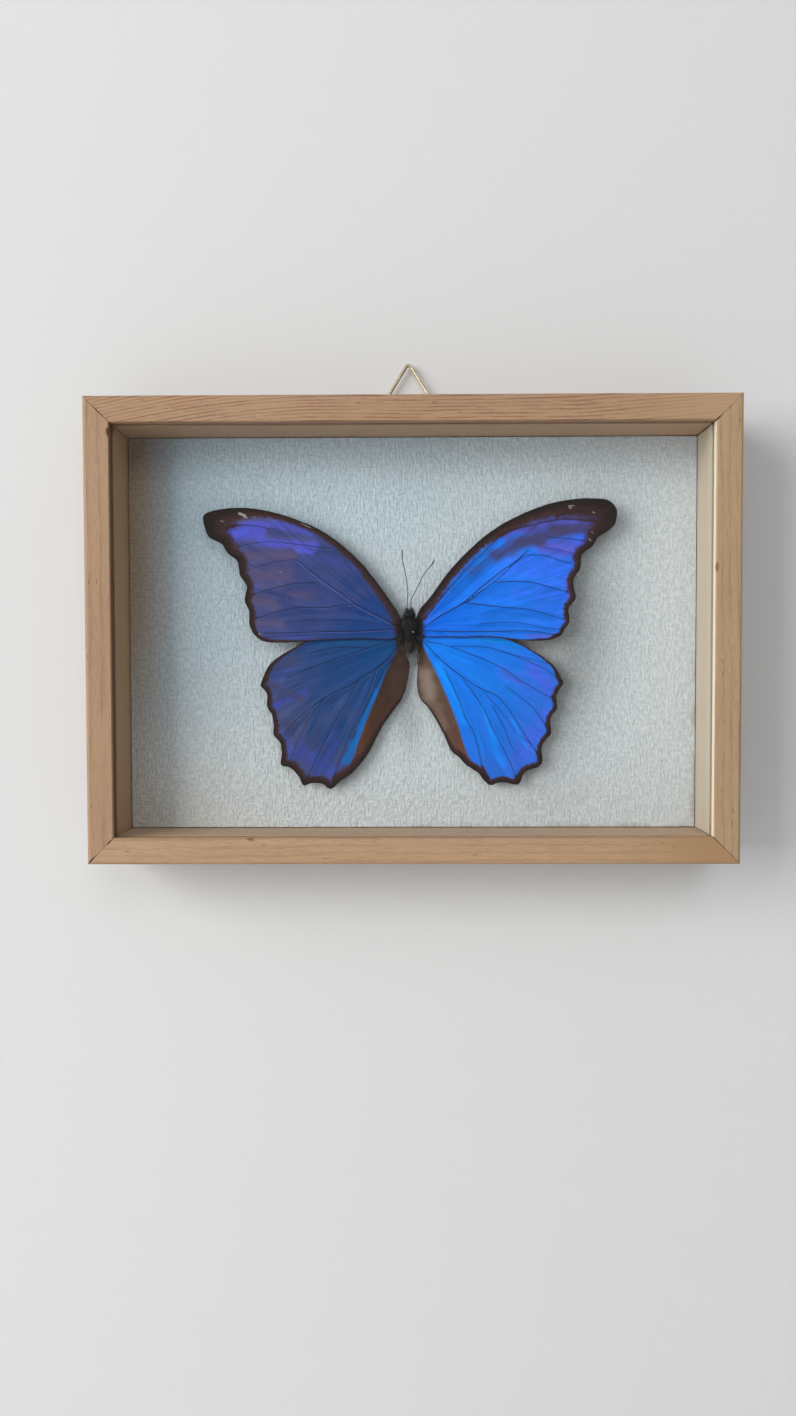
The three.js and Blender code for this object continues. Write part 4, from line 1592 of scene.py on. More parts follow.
@dataclass
class Wing:
    """One wing: a thin sheet from its root to its scalloped outline, pleated along its veins.

    Attributes:
        node: The solid that it replaces.
        side: Which side it is on.
        hind: Whether it is a hindwing.
        root: The point that its sheet fans out from, (x, z) in mm.
        outline: Its edge, from the front edge's root round to the body, (x, z) in mm.
        bands: (outline point's number, width in mm) of the dark band along the edge.
        veins: Its veins.
        finish: Its scales.
        patches: Soft-edged strokes of change by the name of the attribute that they make, each as the x and z
            of one end, the x and z of the other, its half width in mm and its strength.
        fold_line: Where the blue ends and the brown fold beside the body starts, from the body down.
        rays: Points along its edge.
        rings: Rings of points from the root to the edge.
        thickness: The sheet's thickness, mm.
        pleat: How far the membrane sags between veins, mm.
    """

    node: str
    side: Side
    hind: bool
    root: tuple[float, float]
    outline: tuple
    bands: tuple
    veins: tuple[Vein, ...]
    finish: ScaleFinish
    patches: dict[str, tuple[tuple[float, ...], ...]]
    fold_line: tuple = ()
    rays: int = 440
    rings: int = 76
    thickness: float = 0.12
    pleat: float = 0.22

    @property
    def slot(self) -> str:
        """Names the record's material slot."""
        return f"wing_scales_{self.side.name.lower()}"

    def depth_at(self, points: np.ndarray) -> np.ndarray:
        """Returns the middle of the wing's depth at (x, z) points, mm."""
        out = np.abs(points[:, 0] - BODY_X)
        if not self.hind:
            return WING_DEPTH - 0.02 * out
        fold = np.maximum(0, 4.2 - 0.3 * np.minimum(0, points[:, 1]) - out)
        return WING_DEPTH + HINDWING_DROP - 0.014 * out + 0.16 * fold

    def relief(self, points: np.ndarray, gap: np.ndarray) -> np.ndarray:
        """Returns how far the membrane sags behind its veins, mm."""
        rim = eased(path_gap(points, smooth_path(self.outline, True, 3)), 0, 3)
        sag = self.pleat * eased(gap, 0.0, 3.2)
        return rim * (sag + 0.12 * wavy(points, 26, 3) + 0.04 * wavy(points, 5, 4))

    def sheet(self) -> tuple[np.ndarray, np.ndarray, np.ndarray]:
        """Lays the sheet out flat.

        Returns:
            The (x, z) points, the rim's points and the dark band's width at each of them.
        """
        rim = even_path(smooth_path(self.outline, True, 12), self.rays, True)
        middle = rim.mean(0)
        inward = (middle - rim) / np.linalg.norm(middle - rim, axis=1)[:, None]
        nicks = np.clip(0.06 + 0.06 * wavy(rim, 1.1, 8) + 0.05 * wavy(rim, 3.3, 9), 0, 0.25)
        rim = rim + inward * nicks[:, None]
        share = 1 - (1 - np.linspace(0, 1, self.rings + 1)[1:]) ** 1.5
        root = np.array(self.root)
        rings = root + share[:, None, None] * (rim - root)
        knots = np.array([np.argmin(np.linalg.norm(rim - self.outline[i], axis=1)) for i, _ in self.bands])
        order = np.argsort(knots)
        widths = np.array([width for _, width in self.bands])[order]
        width = np.interp(np.arange(self.rays), knots[order], widths, period=self.rays)
        return np.vstack([root[None], rings.reshape(-1, 2)]), rim, width

    def attributes(
        self, points: np.ndarray, rim: np.ndarray, width: np.ndarray, sides: np.ndarray
    ) -> dict[str, np.ndarray]:
        """Works out the numbers that the scales' finish reads at each point.

        Args:
            points: The (x, z) points, mm.
            rim: The wing's edge.
            width: The dark band's width at each rim point, mm.
            sides: Each vein's signed distance from each point, mm.

        Returns:
            The numbers by their attribute's name.
        """
        edge = np.full(len(points), np.inf)
        for place, band in zip(rim, width):
            edge = np.minimum(edge, np.hypot(*(points - place).T) / band)
        near = np.abs(sides).argmin(0)
        fold = np.full(len(points), -9.0)
        if self.fold_line:
            fold = path_gap(points, smooth_path(self.fold_line, per_span=6), True) * -self.side.value
        body, middle = np.array(((BODY_X, -3.0), (BODY_X, 4.0))), (BODY_X, 0)
        ragged = 1 + 0.3 * wavy(points, 4.5, 21)
        made = {
            "ray": np.r_[0, np.tile(np.arange(self.rays) / self.rays, self.rings)],
            "reach": np.linalg.norm(points - middle, axis=1) / np.linalg.norm(rim - middle, axis=1).max(),
            "edge": edge,
            "vein_gap": np.abs(sides).min(0),
            "vein_side": sides[near, np.arange(len(points))],
            "vein_dark": np.array([vein.dark for vein in self.veins])[near],
            "vein_highlight": np.array([vein.pale for vein in self.veins])[near],
            "fold_side": fold,
            "root_gap": path_gap(points, body),
        }
        for name in ("bare", "violet", "teal", "bright", "satin", "speck"):
            made[name] = np.zeros(len(points))
            for x0, z0, x1, z1, half, strength in self.patches.get(name, ()):
                gap = ragged * path_gap(points, np.array(((x0, z0), (x1, z1)), float))
                made[name] = np.maximum(made[name], strength * eased(gap, half * 1.8, 0))
        return made

    def build(self) -> None:
        """Builds the wing and its veins."""
        points, rim, width = self.sheet()
        paths = [smooth_path(vein.route, per_span=6) for vein in self.veins]
        sides = np.array([path_gap(points, path, True) for path in paths])
        depth = self.depth_at(points) + self.relief(points, np.abs(sides).min(0))
        x, z = points.T
        layers = [np.stack([x, depth + way * self.thickness / 2, z], 1) for way in (-1, 1)]
        size, count = len(points), self.rays
        quads = tube_faces(self.rings, count) + 1
        first = np.arange(count)
        after = (first + 1) % count
        hub = np.stack([np.zeros(count, int), first + 1, after + 1], 1)
        outer = 1 + (self.rings - 1) * count
        edge = np.stack([outer + first, outer + after, size + outer + after, size + outer + first], 1)
        front = [*quads.tolist(), *hub.tolist()]
        faces = [*front, *(quads[:, ::-1] + size).tolist(), *(hub[:, ::-1] + size).tolist(), *edge.tolist()]
        under = ChitinFinish(
            self.finish.name + "_underside", paint(78, 58, 46), paint(98, 78, 64), (-60, 60), 0.6, 0.7
        )
        coats = [self.finish.material(), under.material()]
        piece = make_piece(self.node + "_blade", INSECT.metres(np.vstack(layers)), faces, coats)
        back = np.zeros(len(faces), np.int32)
        back[len(front) : 2 * len(front)] = 1
        piece.data.polygons.foreach_set("material_index", back)
        for name, values in self.attributes(points, rim, width, sides).items():
            set_attribute(piece.data, name, np.tile(values, 2))
        hand_over(piece, self.slot, self.node, sharp=60)
        self.build_veins(paths)

    def build_veins(self, paths: Sequence[np.ndarray]) -> None:
        """Builds the raised veins on the wing's front."""
        routes, radii = [], []
        for vein, path in zip(self.veins, paths):
            even = even_path(path, max(8, int(np.linalg.norm(np.diff(path, axis=0), axis=1).sum() / 0.6)))
            gap = np.min([path_gap(even, other) for other in paths], 0)
            share = np.linspace(0, 1, len(even))
            radius = vein.thick * (1 - 0.7 * share) * (0.35 + 0.65 * eased(share, 0, 0.12))
            front = self.depth_at(even) + self.relief(even, gap) - self.thickness / 2 - 0.2 * radius
            routes.append(np.stack([even[:, 0], front, even[:, 1]], 1))
            radii.append(radius)
        dark = ChitinFinish(self.finish.name + "_veins", self.finish.vein, self.finish.vein, rough=0.55)
        piece = tube_piece(self.node + "_veins", routes, radii, dark.material(), 6)
        settle(piece)
        hand_over(piece, self.slot)


def right_forewing() -> Wing:
    """Describes the right forewing, its blue painted bright as the lit side of the iridescent scales."""
    finish = ScaleFinish(
        "right_forewing_scales", (paint(8, 98, 214), paint(22, 108, 218), paint(54, 97, 226)),
        paint(80, 84, 190), paint(10, 98, 192), paint(48, 108, 236), paint(64, 52, 72), paint(6, 22, 74),
        paint(60, 132, 236), streak=0.85,
    )
    outline = (
        (1.7, 6.1), (5.9, 11.7), (12.5, 20.6), (19.1, 27.5), (25.7, 33), (32.3, 37), (38.9, 40),
        (45.5, 42.2), (52.1, 43.5), (58.7, 43.8), (64.6, 43.1), (66.9, 40.8), (67.4, 39.1), (66.6, 35.2),
        (63.7, 32.6), (61.1, 30.9), (59.4, 28.2), (55.8, 25.2), (55.5, 21.1), (53.3, 17.5), (53.2, 15.2),
        (53.9, 11), (51.6, 7.6), (51.9, 3.3), (50.4, 1), (49.3, -1), (45.3, -2.7), (35.7, -2.8),
        (25.8, -1.6), (12.5, -1.6), (1.9, -0.5),
    )
    bands = (
        (0, 3.2), (1, 3.1), (3, 3.0), (6, 3.9), (7, 4.9), (8, 6.0), (9, 7.2), (10, 8.8), (12, 9.2),
        (13, 8.2), (14, 5.8), (16, 3.2), (18, 2.5), (22, 2.0), (25, 1.4), (27, 0.35), (30, 0.3),
    )
    veins = (
        Vein(((3.9, 4.1), (7.9, 9.4), (13.2, 15.6), (19.1, 22.2), (24.1, 26.8), (28, 30.7)), 0.1, 0.5),
        Vein(((5.5, 4.6), (11, 11), (17, 17.6), (24, 23.8), (31.5, 29.8)), 0.06, 0.25),
        Vein(((47.2, 38.2), (53.8, 39.5), (59.4, 38.8)), 0.03, 0.4),
        Vein(((28, 31.1), (32.3, 33.3), (38.9, 35), (48.8, 36.9), (59.4, 36.4)), 0.09, 0.7),
        Vein(((44.9, 31.3), (52.1, 30.6), (56.4, 30)), 0.08, 0.6),
        Vein(((43.9, 27.7), (48, 27), (52.2, 26)), 0.07, 0.5),
        Vein(
            ((3.9, 1.8), (9.2, 5.4), (16.5, 9.5), (19.1, 11.6), (22.4, 14.6), (25.7, 17.2), (29, 19.9),
            (34.7, 23.8), (37.6, 26.7)), 0.2, 1.0, 0.5,
        ),
        Vein(
            ((16.5, 9.2), (19.1, 10.6), (22.4, 13.3), (25.7, 15.6), (29, 18.2), (34, 22.8), (37, 25.1)),
            0.16, 1.0, 0.5,
        ),
        Vein(((37.3, 25.4), (43.9, 25.1), (48.9, 23.4), (52.5, 22.4)), 0.1),
        Vein(((27.6, 16.4), (33.4, 16.7), (39, 16.4), (43.9, 15.2), (50.9, 13.2)), 0.12, 0.9),
        Vein(((17.5, 9.7), (29.1, 8.3), (39, 7.3), (49.6, 4.3)), 0.12),
        Vein(((21.8, 2.7), (29.1, 3.3), (35.7, 3), (44, 1.3), (49.6, 1)), 0.06, 0.4),
        Vein(((4.2, 0.6), (15.8, 0.2), (27, 0.3), (39, 0.3), (44, -0.3), (48.3, -1.3)), 0.14, 0.95, 0.3),
    )
    patches = {
        "bare": (
            (20, 20, 29, 25, 2.2, 0.5), (28, 25.4, 37, 29.8, 2.6, 0.85), (35, 29.6, 50, 33.6, 3.0, 1.0),
            (46, 33.2, 62, 34.6, 2.6, 1.0), (34, 35.6, 56, 40.2, 2.2, 0.85), (56, 39, 61, 35, 3.0, 0.85),
            (30, 32.6, 40, 37, 1.2, 0.5),
        ),
        "violet": (
            (44, 27.5, 54, 27, 3.0, 0.9), (32, 33.5, 56, 37, 2.4, 0.9), (50, 18, 52, 10, 1.2, 0.5),
            (38, -1.6, 50, -1, 1.0, 0.6),
        ),
        "bright": ((34, 22, 46, 20, 4.5, 0.8), (34, 13, 46, 12, 2.4, 0.5), (3, 3, 9, 6, 1.4, 0.5)),
        "teal": ((14, 14, 26, 26, 2.6, 0.7), (24, 5, 46, 5.4, 1.4, 0.5), (40, 15, 52, 14, 0.8, 0.5)),
        "speck": (
            (51.6, 41.3, 52.2, 40.5, 0.34, 1.0), (52.4, 41.5, 53.2, 41.3, 0.22, 0.9),
            (58.2, 39.6, 60.4, 38.9, 0.16, 0.8), (58.2, 30.6, 58.8, 29.9, 0.24, 0.8),
            (58.9, 33, 59.6, 32.5, 0.2, 0.8), (46, 38.6, 49, 38.9, 0.1, 0.6),
        ),
    }
    return Wing("forewing_right", Side.RIGHT, False, (2.5, 2.6), outline, bands, veins, finish, patches)


def left_forewing() -> Wing:
    """Describes the left forewing, its blue painted darker and duller as the shaded side of the iridescent
    scales.
    """
    finish = ScaleFinish(
        "left_forewing_scales", (paint(20, 56, 116), paint(52, 62, 112), paint(74, 73, 122)),
        paint(74, 76, 176), paint(22, 62, 120), paint(80, 88, 204), paint(84, 72, 102), paint(12, 14, 36),
        paint(86, 100, 172), streak=0.45,
    )
    outline = (
        (-3.7, 4.3), (-7.4, 10.7), (-12.7, 18), (-16.6, 22.8), (-22.6, 28.4), (-29.8, 33.6), (-37.1, 36.9),
        (-43.7, 39.1), (-50.3, 40.6), (-57, 41.2), (-63.6, 40.6), (-68.3, 39.2), (-69.1, 38), (-68.3, 34.1),
        (-67, 31.4), (-63, 29.4), (-61.1, 26.3), (-57.8, 23.5), (-57.1, 19.2), (-54.8, 15.2), (-55.5, 10.5),
        (-54.1, 7.2), (-53.9, 2.3), (-52, -1.1), (-49.3, -2.9), (-42.7, -3.4), (-30.7, -2.6), (-17.4, -2),
        (-4.8, -1.5),
    )
    bands = (
        (0, 3.3), (1, 3.1), (3, 2.6), (5, 2.2), (7, 2.1), (8, 2.7), (9, 4.2), (10, 7.4), (12, 9.2),
        (13, 8.6), (14, 6.0), (16, 4.0), (18, 2.9), (20, 2.4), (22, 2.1), (24, 1.3), (26, 0.35), (28, 0.3),
    )
    veins = (
        Vein(((-45.4, 33.8), (-53, 35.3), (-58.5, 35.2), (-62, 34.2)), 0.08, 0.7, 0.4),
        Vein(
            ((-27, 27.5), (-33.8, 28.5), (-40.5, 29.3), (-47.1, 30), (-52.1, 29.4), (-57.7, 28.4)), 0.08,
            0.7, 0.4,
        ),
        Vein(((-38.2, 24), (-43.8, 23.7), (-49.8, 22.1), (-53.8, 20.8)), 0.07, 0.4),
        Vein(
            ((-4.8, 1.8), (-9.1, 4.1), (-14, 6.6), (-19, 9.3), (-24, 13.1), (-30.6, 17.7), (-38.2, 24)),
            0.18, 1.0, 0.8,
        ),
        Vein(((-31.3, 16.4), (-37.2, 16.3), (-42.2, 15.5), (-47.2, 14.2), (-53.9, 12.2)), 0.09, 0.7),
        Vein(((-20, 9.3), (-24, 8.8), (-29, 8.2), (-37.3, 8.2), (-43.9, 6.9), (-51.9, 4.6)), 0.1, 0.8, 0.3),
        Vein(((-5.8, 1.1), (-15.7, 0.5), (-30.7, 0.2), (-49, -0.4)), 0.14, 0.95, 0.5),
        Vein(((-8, 2.4), (-18, 3.6), (-30, 4.2), (-42, 3.4)), 0.05, 0.3),
    )
    patches = {
        "bare": (
            (-54, 25, -40, 25.6, 2.2, 0.8), (-55, 18.4, -42, 19, 3.6, 0.75), (-52, 11, -46, 9.6, 2.6, 0.85),
            (-39.5, 12.6, -34, 12, 2.0, 0.6), (-19, 12, -14, 16, 3.0, 0.4), (-52, 3.4, -44, 3, 2.2, 0.6),
            (-62, 37, -46, 38.6, 1.2, 0.7),
        ),
        "violet": (
            (-60, 32.1, -50, 33, 2.4, 1.0), (-57, 34.8, -48, 35.6, 1.6, 1.0),
            (-50, 30, -32, 28.4, 1.5, 0.9), (-36, 27, -20, 21, 2.2, 0.3), (-46, 36, -34, 33, 1.6, 0.6),
            (-52, 13.6, -52, 20, 1.5, 0.4), (-44, -0.8, -34, -1.8, 1.5, 0.35),
        ),
        "bright": ((-59, 32.6, -55, 33.6, 1.2, 0.8), (-38, 27.4, -33, 26.6, 1.0, 0.7)),
        "teal": ((-28, -2.4, -8, -1.2, 1.6, 0.9), (-24, 4, -10, 3, 2.2, 0.4)),
        "speck": (
            (-57, 39.2, -55, 38.6, 0.34, 1.0), (-55.6, 38.2, -54.4, 37.8, 0.3, 0.9),
            (-53.4, 38.2, -51.6, 38, 0.14, 0.8), (-63.4, 37, -62, 36.5, 0.22, 0.75),
            (-50.8, -0.2, -50.4, -0.6, 0.2, 0.8), (-43.8, 20.2, -43.4, 19.8, 0.2, 0.7),
            (-41.8, 11.5, -41.6, 11.3, 0.18, 0.7), (-37, 36.1, -33.4, 34.5, 0.12, 0.8),
        ),
    }
    return Wing("forewing_left", Side.LEFT, False, (-4.4, 1.6), outline, bands, veins, finish, patches)


def right_hindwing() -> Wing:
    """Describes the right hindwing, its blue painted bright as the lit side of the iridescent scales."""
    finish = ScaleFinish(
        "right_hindwing_scales", (paint(4, 112, 222), paint(18, 112, 222), paint(42, 104, 208)),
        paint(66, 96, 218), paint(0, 118, 206), paint(10, 132, 240), paint(60, 70, 130), paint(6, 24, 80),
        paint(50, 140, 240), streak=0.5,
    )
    outline = (
        (2.9, -2.3), (12.5, 1.4), (22.5, 1.1), (30.8, -1.8), (35.8, -3.9), (42.5, -7.6), (46.4, -10.6),
        (48.4, -13.3), (50.1, -16.9), (48.6, -19.3), (47.8, -21.6), (48.1, -25.3), (46.3, -27.6),
        (45.8, -29.6), (46, -33.9), (44.2, -35.8), (43, -38.3), (43.2, -43.3), (41.9, -44.9), (38.9, -45.8),
        (36.9, -47.3), (35.5, -50.5), (33.9, -50.8), (30.5, -50), (28.2, -50.3), (25.9, -51), (23.9, -49.6),
        (21.8, -46.9), (17.8, -44.2), (15.5, -41.7), (13.2, -39.9), (9.8, -32.9), (5.8, -26), (2.5, -21.8),
        (1.5, -17.8), (1.9, -10.8), (2.4, -6.5),
    )
    bands = (
        (0, 0.3), (4, 0.4), (6, 0.8), (8, 1.8), (10, 1.6), (13, 1.6), (16, 1.7), (19, 2.1), (22, 2.0),
        (25, 2.2), (27, 2.6), (29, 2.2), (31, 0.9), (34, 0.4), (36, 0.3),
    )
    veins = (
        Vein(
            ((13.2, -4.5), (24.2, -4.9), (28.2, -5.9), (36.5, -8.9), (45.1, -12.9), (49, -16.3)), 0.09, 0.6,
        ),
        Vein(((29.2, -6.2), (39.1, -8.9), (45.8, -10.6)), 0.06, 0.4),
        Vein(
            ((4.9, -2.8), (13.2, -4.9), (23.5, -8.9), (30.5, -12.2), (35.8, -15.9), (46.5, -21.9)), 0.12,
            0.75, 0.3,
        ),
        Vein(((31, -18), (37.2, -22.6), (40.8, -25.9), (44.2, -30.9), (45.4, -33.6)), 0.07, 0.5),
        Vein(
            ((4.2, -3.5), (9.2, -8.8), (14.5, -13.2), (22.5, -18.5), (27.8, -20.9), (31.8, -25.2),
            (36.2, -32.2), (41.9, -40.9)), 0.16, 0.95, 0.35,
        ),
        Vein(((35.5, -34.2), (39.9, -37.9), (42.6, -43.4)), 0.05, 0.4),
        Vein(((26.5, -24.2), (30.2, -31.2), (33.2, -38.6)), 0.06, 0.55),
        Vein(
            ((17.2, -15.9), (21.2, -21.5), (24.5, -26.9), (26.8, -32.2), (32.2, -42.6), (34.7, -49.4)), 0.1,
            0.75, 0.3,
        ),
        Vein(
            ((10.5, -11.5), (12.5, -15.8), (15.5, -22.5), (17.8, -28.5), (20.5, -33.5), (22.8, -42.6),
            (25, -49.8)), 0.1, 0.7, 0.3,
        ),
        Vein(((24, -20), (30, -27), (34.4, -33.6)), 0.05, 0.3),
    )
    fold = (
        (2.6, -3.2), (3.9, -5.2), (7.4, -12.2), (11.5, -21.2), (15.1, -30.4), (17.5, -38.1), (19.7, -42.9),
        (23.2, -45.8), (25.4, -52),
    )
    patches = {
        "violet": (
            (40, -12, 46, -20, 3.0, 0.8), (34, -44, 43, -30, 3.4, 0.6), (30, -13, 42, -19, 2.4, 0.5),
        ),
        "bright": (
            (9, -11, 17, -30, 1.6, 0.7), (26, -32, 30, -44, 1.6, 0.6), (6, -4, 16, -9, 2.4, 0.5),
            (23, -24, 27.5, -38, 0.45, 0.9), (33, -29, 38.4, -39, 0.4, 0.7), (21, -31, 24, -42, 0.4, 0.6),
        ),
        "teal": ((20, -1, 34, -4, 1.8, 0.7), (20, -14, 32, -19, 2.6, 0.4)),
        "satin": ((4.6, -14, 5.6, -21, 2.4, 1.0), (7.5, -24, 11, -31, 1.2, 0.4)),
        "bare": ((30, -12.6, 36, -16.4, 0.8, 0.55),),
        "speck": (
            (49.2, -14.6, 49.6, -15.6, 0.16, 0.7), (47.6, -26.8, 47.5, -27.4, 0.16, 0.7),
            (44.5, -35.8, 44.4, -36.3, 0.16, 0.7), (13.4, -29.2, 13.8, -30.2, 0.12, 0.8),
        ),
    }
    return Wing("hindwing_right", Side.RIGHT, True, (3.6, -3), outline, bands, veins, finish, patches, fold)


def left_hindwing() -> Wing:
    """Describes the left hindwing, its blue and its brown fold painted darker as the shaded side of the
    iridescent scales.
    """
    finish = ScaleFinish(
        "left_hindwing_scales", (paint(14, 62, 119), paint(30, 62, 114), paint(66, 70, 112)),
        paint(56, 70, 148), paint(12, 66, 116), paint(18, 104, 182), paint(60, 54, 84), paint(8, 12, 34),
        paint(72, 104, 168), streak=0.6, fold=(paint(62, 43, 34), paint(84, 51, 35), paint(78, 60, 50)),
    )
    outline = (
        (-4.6, -3), (-15.8, 0.9), (-25.8, 0.6), (-33.4, -1.4), (-38.8, -4.6), (-44.1, -7.7), (-47.5, -10.5),
        (-50, -15.4), (-50.6, -17.4), (-48.6, -20), (-48.4, -24.7), (-46.9, -27.4), (-46.3, -30.4),
        (-46.3, -34.1), (-44.3, -36.4), (-43.7, -40.1), (-43.9, -44.1), (-41, -45), (-37.9, -48.2),
        (-36.4, -51), (-33.7, -50.2), (-30.3, -50.5), (-27.3, -52.2), (-24.3, -49.7), (-20.3, -46.9),
        (-16.6, -42.8), (-14.2, -39.5), (-9.9, -31.1), (-6.2, -25.8), (-3.2, -21.5), (-1.8, -17.1),
        (-0.9, -10), (-1.9, -8), (-3.6, -5.6),
    )
    bands = (
        (0, 0.3), (3, 0.5), (5, 1.1), (7, 2.1), (9, 1.8), (12, 1.8), (15, 2.1), (17, 2.7), (19, 2.4),
        (22, 2.6), (24, 3.0), (26, 2.4), (28, 1.2), (30, 0.6), (32, 0.3),
    )
    veins = (
        Vein(((-15.4, -5.1), (-24.1, -4.9), (-34.1, -6.7)), 0.08, 0.6),
        Vein(
            ((-6.4, -2.8), (-12.4, -4.5), (-15.4, -5.5), (-22.5, -7.8), (-30.8, -10.7), (-42, -15.2)), 0.12,
            0.7, 0.3,
        ),
        Vein(
            ((-5.1, -5.1), (-9.1, -9.8), (-15.8, -14.4), (-20.8, -17.8), (-25.8, -19.8), (-29.2, -21.8),
            (-37, -27.6), (-42, -33)), 0.17, 0.95, 0.5,
        ),
        Vein(((-29.2, -21.8), (-34, -28.6), (-38, -36), (-40.6, -42)), 0.06, 0.4, 0.4),
        Vein(
            ((-18.2, -16.8), (-20.8, -21.4), (-24.5, -27.6), (-29, -36), (-33.5, -45), (-35.6, -49.6)), 0.1,
            0.7, 0.5,
        ),
        Vein(
            ((-12.1, -12.8), (-14.2, -19.1), (-17.4, -26), (-21, -35), (-24.6, -43.4), (-27, -50.6)), 0.1,
            0.65, 0.5,
        ),
        Vein(((-33, -22), (-40, -27), (-44.6, -31)), 0.05, 0.3, 0.3),
        Vein(((-37, -17), (-43, -20), (-47, -23.6)), 0.05, 0.3, 0.3),
    )
    fold = (
        (-3.4, -3.4), (-4.7, -5.3), (-8.5, -12.3), (-12.4, -22.1), (-16, -30.5), (-18.8, -38.3),
        (-20.9, -43.8), (-25.3, -47.1), (-27, -53),
    )
    patches = {
        "violet": (
            (-46, -15, -40, -13, 2.0, 0.4), (-36, -40, -28, -46, 3.4, 0.9), (-46, -24, -36, -20, 1.6, 0.7),
            (-43, -34, -40, -42, 1.8, 0.5), (-26, -34, -30, -44, 2.0, 0.6),
        ),
        "bright": (
            (-7.4, -10.6, -12.4, -20.4, 0.4, 0.6), (-12, -19.6, -16.2, -28.6, 0.7, 0.9),
            (-16, -28.6, -19.2, -37, 1.2, 1.0), (-19.2, -37, -22.2, -43, 1.4, 0.85),
        ),
        "teal": (
            (-32, -3, -8, -3.4, 2.2, 0.9), (-16, -8, -8, -6, 2.0, 0.6), (-30, -24, -35, -34, 0.5, 0.8),
            (-22, -28, -28, -42, 0.5, 0.7),
        ),
        "bare": (
            (-47, -17.6, -37, -22, 1.6, 0.7), (-41, -31, -36, -29, 2.0, 0.7),
            (-44, -11, -38, -8.6, 1.8, 0.6), (-33, -36, -36, -42, 1.0, 0.6),
        ),
        "satin": ((-5, -14, -6.4, -20, 1.8, 0.35),),
    }
    return Wing("hindwing_left", Side.LEFT, True, (-5.6, -3.6), outline, bands, veins, finish, patches, fold)


# ------------------------------------------------------------------ the body


@dataclass(frozen=True)
class Lobe:
    """An egg-shaped part of the body: its middle and its half sizes, (x, depth, z) in mm."""

    middle: tuple[float, float, float]
    half: tuple[float, float, float]

    def points(self, rows: int, sides: int) -> tuple[np.ndarray, list[list[int]]]:
        """Returns a closed round mesh's points and faces."""
        tilt = np.linspace(0, math.pi, rows + 1)[1:-1]
        turn = np.linspace(0, 2 * math.pi, sides, endpoint=False)
        sine, cosine = np.sin(tilt), np.cos(tilt)
        axes = [np.outer(sine, np.cos(turn)), np.outer(sine, np.sin(turn)), np.outer(cosine, np.ones(sides))]
        ring = np.stack(axes, -1).reshape(-1, 3)
        unit = np.vstack([ring, (0, 0, 1), (0, 0, -1)])
        faces = tube_faces(rows - 1, sides).tolist()
        top, low = len(ring), len(ring) + 1
        base = (rows - 2) * sides
        for i in range(sides):
            after = (i + 1) % sides
            faces += [[top, i, after], [low, base + after, base + i]]
        return np.array(self.middle) + unit * self.half, faces


